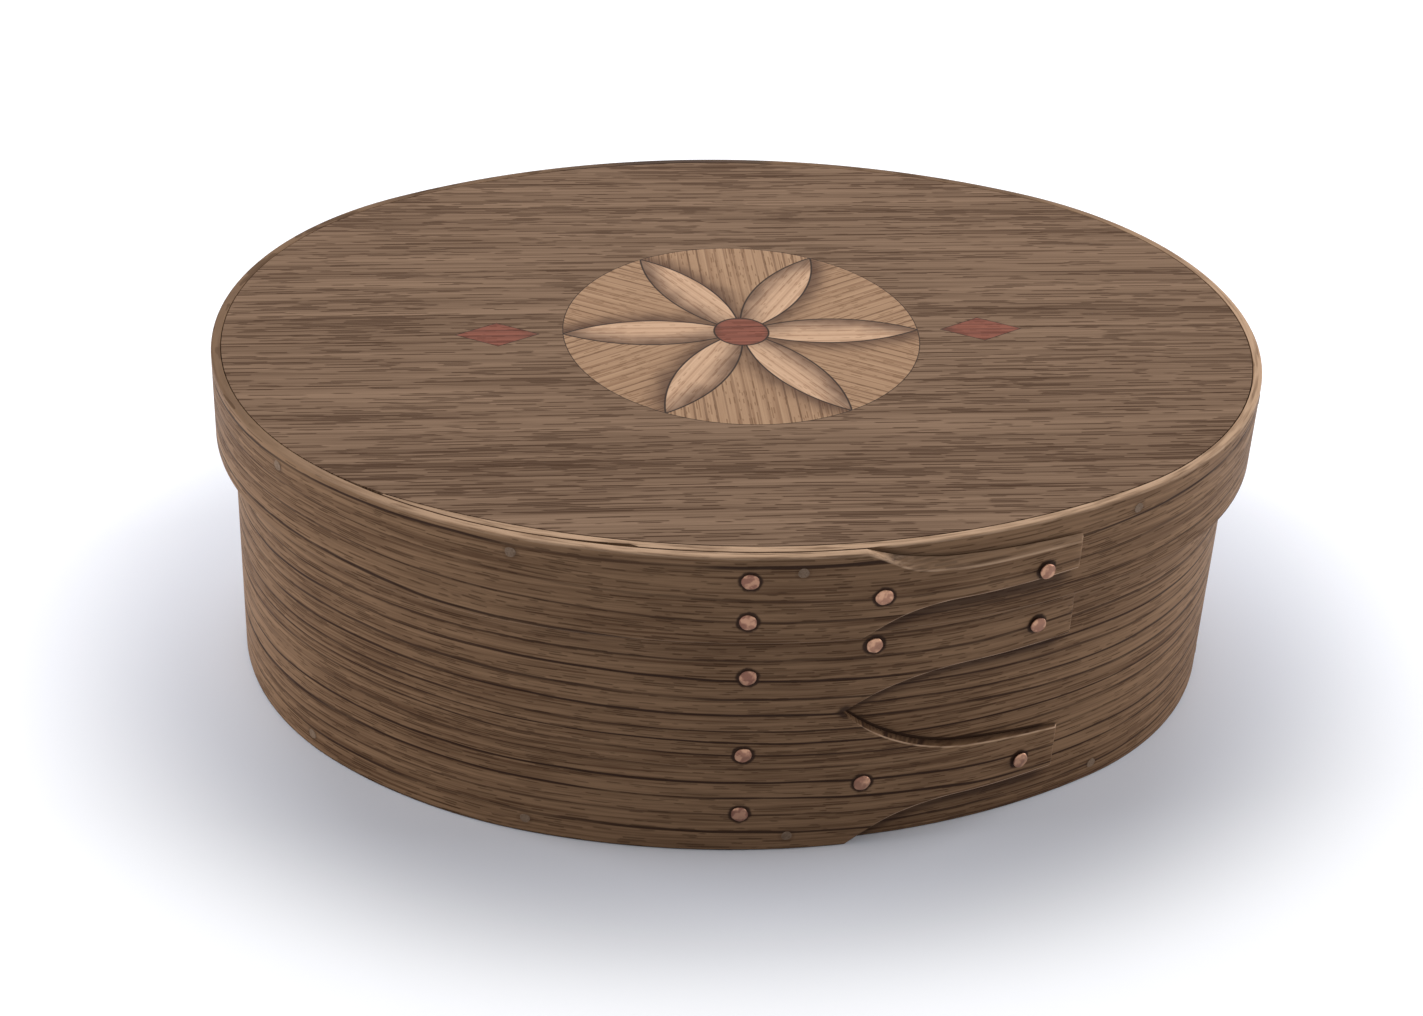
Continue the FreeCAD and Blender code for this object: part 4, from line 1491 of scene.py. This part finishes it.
@dataclass
class Tacks(Fasteners):
    """Copper tacks with hammered heads, driven through the lap and clinched inside."""

    head_radius: float = 1.75
    head_proud: float = 0.45
    rim: float = 0.2
    sink: float = 0.1
    depth: float = 3.9
    clinch_width: float = 0.5
    clinch_proud: float = 0.24
    clinch_sink: float = 0.03
    fullness: float = 0.95
    marks: int = 4
    dome_rings: tuple[float, ...] = (0.84, 0.66, 0.45, 0.22)
    clinch_rows: tuple[Triple, ...] = (
        (-0.55, 0.5, 0.05),
        (-0.4, 0.85, 0.75),
        (0.1, 1.0, 1.0),
        (1.0, 0.8, 0.75),
        (1.7, 0.45, 0.45),
        (2.2, 0.12, 0.1),
    )

    def shape(self, variant: int) -> bpy.types.Mesh:
        """A low dome with a few flat hammer marks and a slightly uneven edge.

        Args:
            variant: which of the heads.

        Returns:
            Its mesh.
        """
        marks = []
        for index in range(self.marks):
            angle = 2.4 * index + 1.9 * variant
            lean = (0.2 + 0.05 * ((index + variant) % 3)) * (0.62 if index else 0.1)
            level = self.head_proud * (0.97 - 0.03 * ((index * 2 + variant) % 3))
            marks.append((math.cos(angle) * lean, math.sin(angle) * lean, level))
        foot = ((1.0, -self.sink), (1.0, self.rim * 0.55), (0.96, self.rim))
        rings = []
        for share, height in (*foot, *((share, None) for share in self.dome_rings)):
            ring = []
            for angle in self.angles():
                uneven = 0.035 * math.sin(2 * angle + variant * 2.1)
                uneven = 1 + uneven + 0.02 * math.sin(5 * angle + variant)
                radius = self.head_radius * self.fullness * share * uneven
                x, y = radius * math.cos(angle), radius * math.sin(angle)
                ring.append((x, y, self._top(x, y, marks) if height is None else height))
            rings.append(ring)
        return turned(f"tack_head_{variant + 1}", rings, self._top(0.0, 0.0, marks))

    def _top(self, x: float, y: float, marks: Sequence[Triple]) -> float:
        """Height of the hammered dome.

        Args:
            x: place across the head.
            y: the same, the other way.
            marks: each hammer mark's slope both ways and its level.

        Returns:
            The lowest of the dome and the hammer marks.
        """
        share = min(1.0, math.hypot(x, y) / self.head_radius)
        dome = self.rim + (self.head_proud * 1.05 - self.rim) * math.sqrt(max(0.0, 1 - share**2))
        return min([dome, *(level - x * lean_x - y * lean_y for lean_x, lean_y, level in marks)])

    def build(self, finish: bpy.types.Material) -> bpy.types.Object:
        """Set the heads, then join the clinched points to them.

        Args:
            finish: the copper.

        Returns:
            The finished piece.
        """
        piece = super().build(finish)
        made = bmesh.new()
        made.from_mesh(piece.data)
        for place, out in self.places:
            self._clinch(made, place, out)
        made.to_mesh(piece.data)
        made.free()
        return piece

    def _clinch(self, made: bmesh.types.BMesh, place: Vector, out: Vector, sides: int = 8) -> None:
        """Add the flattened point that lies along the band's inner face.

        Args:
            made: the mesh that it joins.
            place: the middle of the head on the outer face.
            out: the way the head faces.
            sides: how many faces its back has.
        """
        back = UP.cross(out) * -1.0
        start = place - out * self.depth
        rows = []
        for run, wide, high in self.clinch_rows:
            row = []
            for step in range(sides + 1):
                angle = math.pi * step / sides
                side = math.cos(angle) * self.clinch_width * wide
                rise = math.sin(angle) * self.clinch_proud * high - self.clinch_sink
                level = rise if 0 < step < sides else -self.clinch_sink
                row.append(made.verts.new((start + back * run + UP * side - out * level) * MM))
            rows.append(row)
        faces = [made.faces.new(corners) for _, corners in quads(rows)]
        faces += [made.faces.new(rows[0][::-1]), made.faces.new(rows[-1])]
        bmesh.ops.recalc_face_normals(made, faces=faces)
        for face in faces:
            face.smooth = True


@dataclass
class Pegs(Fasteners):
    """Small wooden pegs that hold the boards, sawn off almost flush."""

    around: int = 20
    radius: float = 1.1
    length: float = 9.0
    proud: float = 0.04
    chamfer: float = 0.08
    torn: float = 0.05

    def shape(self, variant: int) -> bpy.types.Mesh:
        """A round peg with a small chamfer and a slightly torn end.

        Args:
            variant: which of the pegs.

        Returns:
            Its mesh.
        """
        foot = ((0.9, -self.length, 0.0), (1.0, -self.length + 0.4, 0.0))
        end = ((1.0, -self.chamfer, 0.0), (0.95, self.proud, 0.0), (0.5, self.proud, self.torn))
        rings = []
        for share, height, torn in (*foot, *end):
            ring = []
            for angle in self.angles():
                uneven = 1 + 0.03 * math.sin(3 * angle + variant * 1.7) - 0.03
                radius = self.radius * share * uneven
                level = height - abs(torn * math.sin(2 * angle + variant))
                ring.append((radius * math.cos(angle), radius * math.sin(angle), level))
            rings.append(ring)
        return turned(f"peg_{variant + 1}", rings, self.proud - 0.03)


# The two halves of the object


WALNUT = Grain(
    light=(0.272, 0.158, 0.085),
    dark=(0.122, 0.062, 0.03),
    line=(0.03, 0.012, 0.005),
    spacing=3.8,
    line_width=0.088,
    line_depth=0.97,
    wobble=0.75,
    fibre_depth=0.85,
    fibre_size=(16.0, 0.5),
    streak_depth=0.5,
    hair_depth=0.5,
    shade_depth=0.2,
    pore_level=0.58,
    pore_depth=0.5,
    pore_length=6.0,
)
LID_BOARD = Grain(
    light=(0.275, 0.175, 0.114),
    dark=(0.112, 0.063, 0.037),
    line=(0.045, 0.02, 0.011),
    spacing=6.0,
    wander=0.8,
    wobble=0.25,
    line_width=0.05,
    line_depth=0.3,
    shade_depth=0.1,
    streak_depth=0.4,
    streak_size=(120.0, 2.4),
    hair_depth=0.6,
    fibre_depth=0.45,
    fibre_size=(28.0, 0.45),
    cloud_depth=0.25,
    pore_depth=0.74,
    pore_level=0.57,
    pore_length=11.0,
    pore_width=0.5,
    seed=3.0,
    roughness=0.66,
    gloss=0.06,
)
PALE = Grain(
    light=(0.66, 0.43, 0.28),
    dark=(0.5, 0.3, 0.185),
    line=(0.3, 0.16, 0.09),
    spacing=2.1,
    wander=0.5,
    wobble=0.25,
    line_depth=0.75,
    pore_depth=0.5,
    relief=0.015,
)
TAN = replace(PALE, light=(0.44, 0.27, 0.16), dark=(0.28, 0.155, 0.085), line=(0.14, 0.07, 0.035))
RED = replace(PALE, light=(0.27, 0.088, 0.055), dark=(0.17, 0.052, 0.033), line=(0.07, 0.02, 0.012))


def spots(places: Sequence[Place]) -> tuple[Triple, ...]:
    """The points of some places, without the way they face."""
    return tuple(tuple(place) for place, _ in places)


def dress(node: str, finish: WoodFinish) -> None:
    """Give a solid of the model its finish in every slot.

    Args:
        node: the solid's name.
        finish: how it looks.
    """
    solid = FRAME["nodes"][node]
    material = finish.build()
    for slot in solid.material_slots:
        slot.material = material
    if not solid.material_slots:
        solid.data.materials.append(material)
    LOG.info("%s: %s", node, finish.name)


@dataclass
class Part:
    """What the box and the lid share: a band with fingers, tacks through them, and pegs. In millimetres."""

    height: float
    root: float
    waist: float
    tip: float
    waist_half: float
    tip_half: float
    droop: float
    root_arc: float
    arcs: Pair
    root_pitch: float
    peg_height: float
    peg_arcs: Pair
    pegs: int = 11

    def edge(self, start: Pair, centre: float, side: int) -> FingerEdge:
        """One long edge of a finger.

        Args:
            start: where the edge starts, at the root or in the valley.
            centre: height of the finger's middle line.
            side: 1 for the upper edge and -1 for the lower one.

        Returns:
            The edge.
        """
        bend = (self.waist, centre - self.droop * self.waist / self.tip + side * self.waist_half)
        return FingerEdge(start, bend, (self.tip, centre - self.droop + side * self.tip_half))

    def tack_row(self, band: BentBand, centre: float) -> list[Place]:
        """Two tacks at a finger's root, one half way and one at the tip.

        Args:
            band: the band that they go through.
            centre: height of the finger's middle line over the floor.

        Returns:
            Each tack's place on the band's outer face and the way it faces.
        """
        root = [band.spot(self.root_arc, centre + side * self.root_pitch / 2) for side in (-1, 1)]
        return root + [band.spot(arc, centre - self.droop * arc / self.arcs[1]) for arc in self.arcs]

    def join(self, band: BentBand, finish: BandFinish, tacks: Tacks, pegs: Pegs, mark: str = "") -> None:
        """Make the band with its tacks and pegs, and dress them.

        Args:
            band: the band.
            finish: its finish, which gets dark rings round the tacks and pegs.
            tacks: its tacks.
            pegs: its pegs, whose places are found here.
            mark: starts the names of the other finishes.
        """
        pegs.places = band.peg_places(self.pegs, self.peg_arcs, self.peg_height)
        marks = {"tacks": spots(tacks.places), "pegs": spots(pegs.places)}
        band.build(replace(finish, feet=band.feet(), lap_run=band.lap_run, **marks).build())
        tacks.build(CopperFinish(mark + "copper").build())
        pegs.build(PegFinish(mark + "peg_end").build())


@dataclass
class Container(Part):
    """The box: its band with two fingers, its base board, tacks and pegs. Lengths in millimetres."""

    height: float = 64.6
    root: float = 15.2
    waist: float = 38.0
    tip: float = 58.2
    waist_half: float = 6.3
    tip_half: float = 5.1
    droop: float = 3.3
    root_arc: float = -5.7
    arcs: Pair = (17.6, 51.2)
    root_pitch: float = 14.2
    peg_height: float = 3.4
    peg_arcs: Pair = (3.6, 70.5)
    valley: float = 12.4

    def _halves(self) -> tuple[Half, Half]:
        """Cut the strip's end to two fingers.

        Returns:
            The lower and the upper finger, each with its outer and its inner edge.
        """
        low, high, fork = self.height / 4, self.height * 3 / 4, (self.valley, self.height / 2)
        # Painted shade: the top face of the lower finger's upper edge, and the upper finger's top edge under
        # the lid, are darkened.
        lower = Half(True, self.edge((self.root, 0.0), low, -1), self.edge(fork, low, 1), wall_wear_and_shade=-0.8)
        rim, wall = self.edge((self.root, self.height), high, 1), self.edge(fork, high, -1)
        return lower, Half(False, rim, wall, bevel=(0.35, 0.3), bevel_wear_and_shade=-0.7)

    def build(self) -> None:
        """Make and dress every piece of the box."""
        plan = ("box_wall", "box", "box_band", self.height, self._halves(), self.root, self.tip)
        # Painted contact shadow: the box band's foot is darkened where it stands on the table.
        band = BentBand(*plan, valley=self.valley, foot_wear_and_shade=-0.8)
        places = [place for share in (1, 3) for place in self.tack_row(band, self.height * share / 4)]
        nodes = ("lower_finger_tacks", "upper_finger_tacks")
        tacks = Tacks("finger_tacks", "box", nodes, "copper", places)
        pegs = Pegs("foot_pegs", "box", ("base_pegs",), "peg_wood", seed=9)
        # A dark spot at the valley: painted shade in the small hole where the fingers part.
        torn = spots([band.spot(self.valley + 0.7, self.height / 2 + 0.1)])
        self.join(band, BandFinish("wall_walnut", WALNUT, valley=torn), tacks, pegs)
        dress("base_board", WoodFinish("base_walnut", WALNUT))


@dataclass
class Lid(Part):
    """The lid: its narrow band with one finger, its board with the inlay, tacks and pegs. In millimetres."""

    height: float = 18.7
    root: float = 14.0
    waist: float = 33.0
    tip: float = 56.6
    waist_half: float = 4.6
    tip_half: float = 3.8
    droop: float = 0.5
    root_arc: float = -7.0
    arcs: Pair = (17.6, 50.0)
    root_pitch: float = 8.8
    peg_height: float = 67.7
    peg_arcs: Pair = (2.4, 70.5)
    foot: float = 52.3
    offset: float = 3.425
    shift: float = -1.225
    middle: float = 10.75
    tack_line: float = 61.55

    def _halves(self) -> tuple[Half, Half]:
        """Cut the strip's end to one finger.

        Returns:
            The lower and the upper half, which share the finger.
        """
        low = self.edge((self.root, 0.0), self.middle, -1)
        high = self.edge((self.root, self.height), self.middle, 1)
        return Half(True, low), Half(False, high, bevel=(2.0, 1.2), bevel_wear_and_shade=0.3)

    def build(self) -> None:
        """Make and dress every piece of the lid."""
        plan = ("lid_wall", "lid", "lid_band", self.height, self._halves(), self.root, self.tip)
        rounds = {"rim_round": 0.5, "foot_round": 0.35, "joint_round": 0.15}
        seat = (self.shift, self.foot)
        band = BentBand(*plan, offset=self.offset, seat=seat, lead=3.3, arris_wear=0.95, **rounds)
        places = self.tack_row(band, self.tack_line)
        tacks = Tacks("lid_tacks", "lid", ("lid_finger_tacks",), "copper", places, seed=2)
        pegs = Pegs("rim_pegs", "lid", ("lid_pegs",), "peg_wood", seed=5)
        walnut = replace(WALNUT, spacing=5.6, line_width=0.06, seed=11.0)
        finish = BandFinish("lid_wall_walnut", walnut, shadow_from=self.root + 1.0, depth_above=0.3)
        self.join(band, finish, tacks, pegs, mark="lid_")
        dress("lid_board", WoodFinish("lid_walnut", LID_BOARD))
        self._dress_inlay()

    @staticmethod
    def _dress_inlay() -> None:
        """Give each piece of the rosette and each lozenge its veneer, with the grain along the piece."""
        petals = InlayPlan().petals
        for index in range(petals):
            turn, number = 2 * math.pi * index / petals, index + 1
            petal = InlayFinish(f"petal_veneer_{number}", PALE, motif=Motif.PETAL, turn=turn)
            turn += math.pi / petals
            between = InlayFinish(f"field_veneer_{number}", TAN, motif=Motif.FIELD, turn=turn)
            dress(f"rosette_petal_{number}", petal)
            dress(f"rosette_field_{number}", between)
        dress("rosette_hub", InlayFinish("hub_veneer", RED, motif=Motif.HUB, scorch_reach=1.5))
        for side in ("left", "right"):
            lozenge = InlayFinish(f"{side}_lozenge_veneer", RED, motif=Motif.LOZENGE, scorch_reach=5.0)
            dress(f"{side}_lozenge", lozenge)


# Studio


@dataclass(frozen=True)
class Lamp:
    """A soft lamp that looks at the box. Lengths in metres."""

    name: str
    place: Triple
    size: Pair
    power: float
    target: Triple = (0.0, 0.0, 0.03)

    def build(self) -> None:
        """Hang the lamp."""
        data = bpy.data.lights.new(self.name, "AREA")
        data.shape = "RECTANGLE"
        data.size, data.size_y = self.size
        data.energy = self.power
        lamp = link(self.name, data)
        lamp.location = self.place
        lamp.rotation_euler = (Vector(self.target) - lamp.location).to_track_quat("-Z", "Y").to_euler()


@dataclass
class Studio:
    """A white table, soft lamps on both sides and the camera. Lengths in millimetres, angles in degrees."""

    image: Pair = (1423.0, 1016.0)
    focal: float = 2700.0
    azimuth: float = -7.34
    elevation: float = 33.09
    roll: float = 2.94
    distance: float = 573.2
    target: Triple = (-3.47, 4.63, 24.82)
    sensor: float = 36.0
    clip: Pair = (10.0, 20000.0)
    ambient: float = 0.26
    table_half: float = 3000.0
    table: Colour = (0.85, 0.88, 0.97)
    table_glow: Colour = (0.32, 0.31, 0.28)
    glow_size: Pair = (0.105, 0.08)
    glow_reach: Pair = (1.05, 1.6)
    white_reach: Pair = (2.6, 13.0)
    lamps: tuple[Lamp, ...] = (
        Lamp("left_softbox", (-0.95, 0.1, 0.4), (0.7, 0.6), 6.5),
        Lamp("right_softbox", (0.95, 0.1, 0.4), (0.7, 0.6), 6.5),
        Lamp("back_softbox", (0.0, 0.6, 0.9), (1.0, 0.8), 6.0),
    )

    def build(self) -> None:
        """Set up the table, the surroundings, the lamps and the camera."""
        bpy.context.scene.view_settings.view_transform = "Standard"
        self._world()
        self._table()
        for lamp in self.lamps:
            lamp.build()
        self._camera()

    @staticmethod
    def _seen(graph: Graph) -> Num:
        """1 for what the camera sees directly, in gloss or through glass, and 0 for light that spreads."""
        rays = graph.node("ShaderNodeLightPath").outputs
        seen = ("Is Camera Ray", "Is Glossy Ray", "Is Transmission Ray")
        return reduce(Num.most, [Num(graph, rays[name]) for name in seen])

    def _world(self) -> None:
        """White all round to the eye, and an even light from everywhere."""
        world = bpy.data.worlds.new("studio")
        bpy.context.scene.world = world
        world.use_nodes = True
        graph = Graph(world.node_tree)
        strength = self._seen(graph) * (1.0 - self.ambient) + self.ambient
        light = {"Color": (1.0, 1.0, 1.0, 1.0), "Strength": strength}
        sky = graph.node("ShaderNodeBackground", inputs=light)
        graph.node("ShaderNodeOutputWorld", inputs={"Surface": sky})

    def _table(self) -> None:
        """A pale table, lit by the lamps, that also glows for the eye: little near the box and more further
        out, a painted shadow round the box on top of the lamps' own, and white far off.
        """
        far = self.table_half * MM
        mesh = bpy.data.meshes.new("table")
        mesh.from_pydata([(-far, -far, 0), (far, -far, 0), (far, far, 0), (-far, far, 0)], [], [(0, 1, 2, 3)])
        table = link("table", mesh)
        material = bpy.data.materials.new("table")
        material.use_nodes = True
        graph = Graph(material.node_tree)
        matt = graph.node("ShaderNodeBsdfDiffuse", inputs={"Color": (*self.table, 1.0)})
        place = graph.node("ShaderNodeTexCoord").outputs["Object"]
        shares = graph.vector("MULTIPLY", place, (1.0 / self.glow_size[0], 1.0 / self.glow_size[1], 0.0))
        away = Num(graph, graph.vector("LENGTH", shares).outputs["Value"])
        # Painted shadow round the box: the glow is small near it, grows further out, and turns white far
        # away.
        glow = away.step(*self.glow_reach) + away.step(*self.white_reach) * 2.0 + 0.04
        shown = {"Color": (*self.table_glow, 1.0), "Strength": self._seen(graph) * glow}
        lit = graph.node("ShaderNodeEmission", inputs=shown)
        both = graph.node("ShaderNodeAddShader", inputs={0: matt, 1: lit})
        graph.node("ShaderNodeOutputMaterial", inputs={"Surface": both})
        mesh.materials.append(material)

    def _camera(self) -> None:
        """Stand the camera where the photograph was taken from."""
        azimuth, elevation, roll = map(math.radians, (self.azimuth, self.elevation, self.roll))
        level = math.cos(elevation)
        back = Vector((math.sin(azimuth) * level, -math.cos(azimuth) * level, math.sin(elevation)))
        side = (-back).cross(UP).normalized()
        over = side.cross(-back)
        right = side * math.cos(roll) + over * math.sin(roll)
        top = over * math.cos(roll) - side * math.sin(roll)
        data = bpy.data.cameras.new("camera")
        data.sensor_width = self.sensor
        data.lens = self.focal / self.image[0] * self.sensor
        data.clip_start, data.clip_end = (value * MM for value in self.clip)
        camera = link("camera", data)
        place = (Vector(self.target) + back * self.distance) * MM
        camera.matrix_world = Matrix.Translation(place) @ Matrix((right, top, back)).transposed().to_4x4()
        bpy.context.scene.camera = camera


def corners(box: tuple[Vector, Vector]) -> list[list[float]]:
    """A box as plain lists."""
    return [list(corner) for corner in box]


def main() -> None:
    """Build the studio, the box and the lid."""
    logging.basicConfig(level=logging.INFO, format="%(message)s")
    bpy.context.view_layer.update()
    Studio().build()
    Container().build()
    Lid().build()


if __name__ == "__main__":
    main()
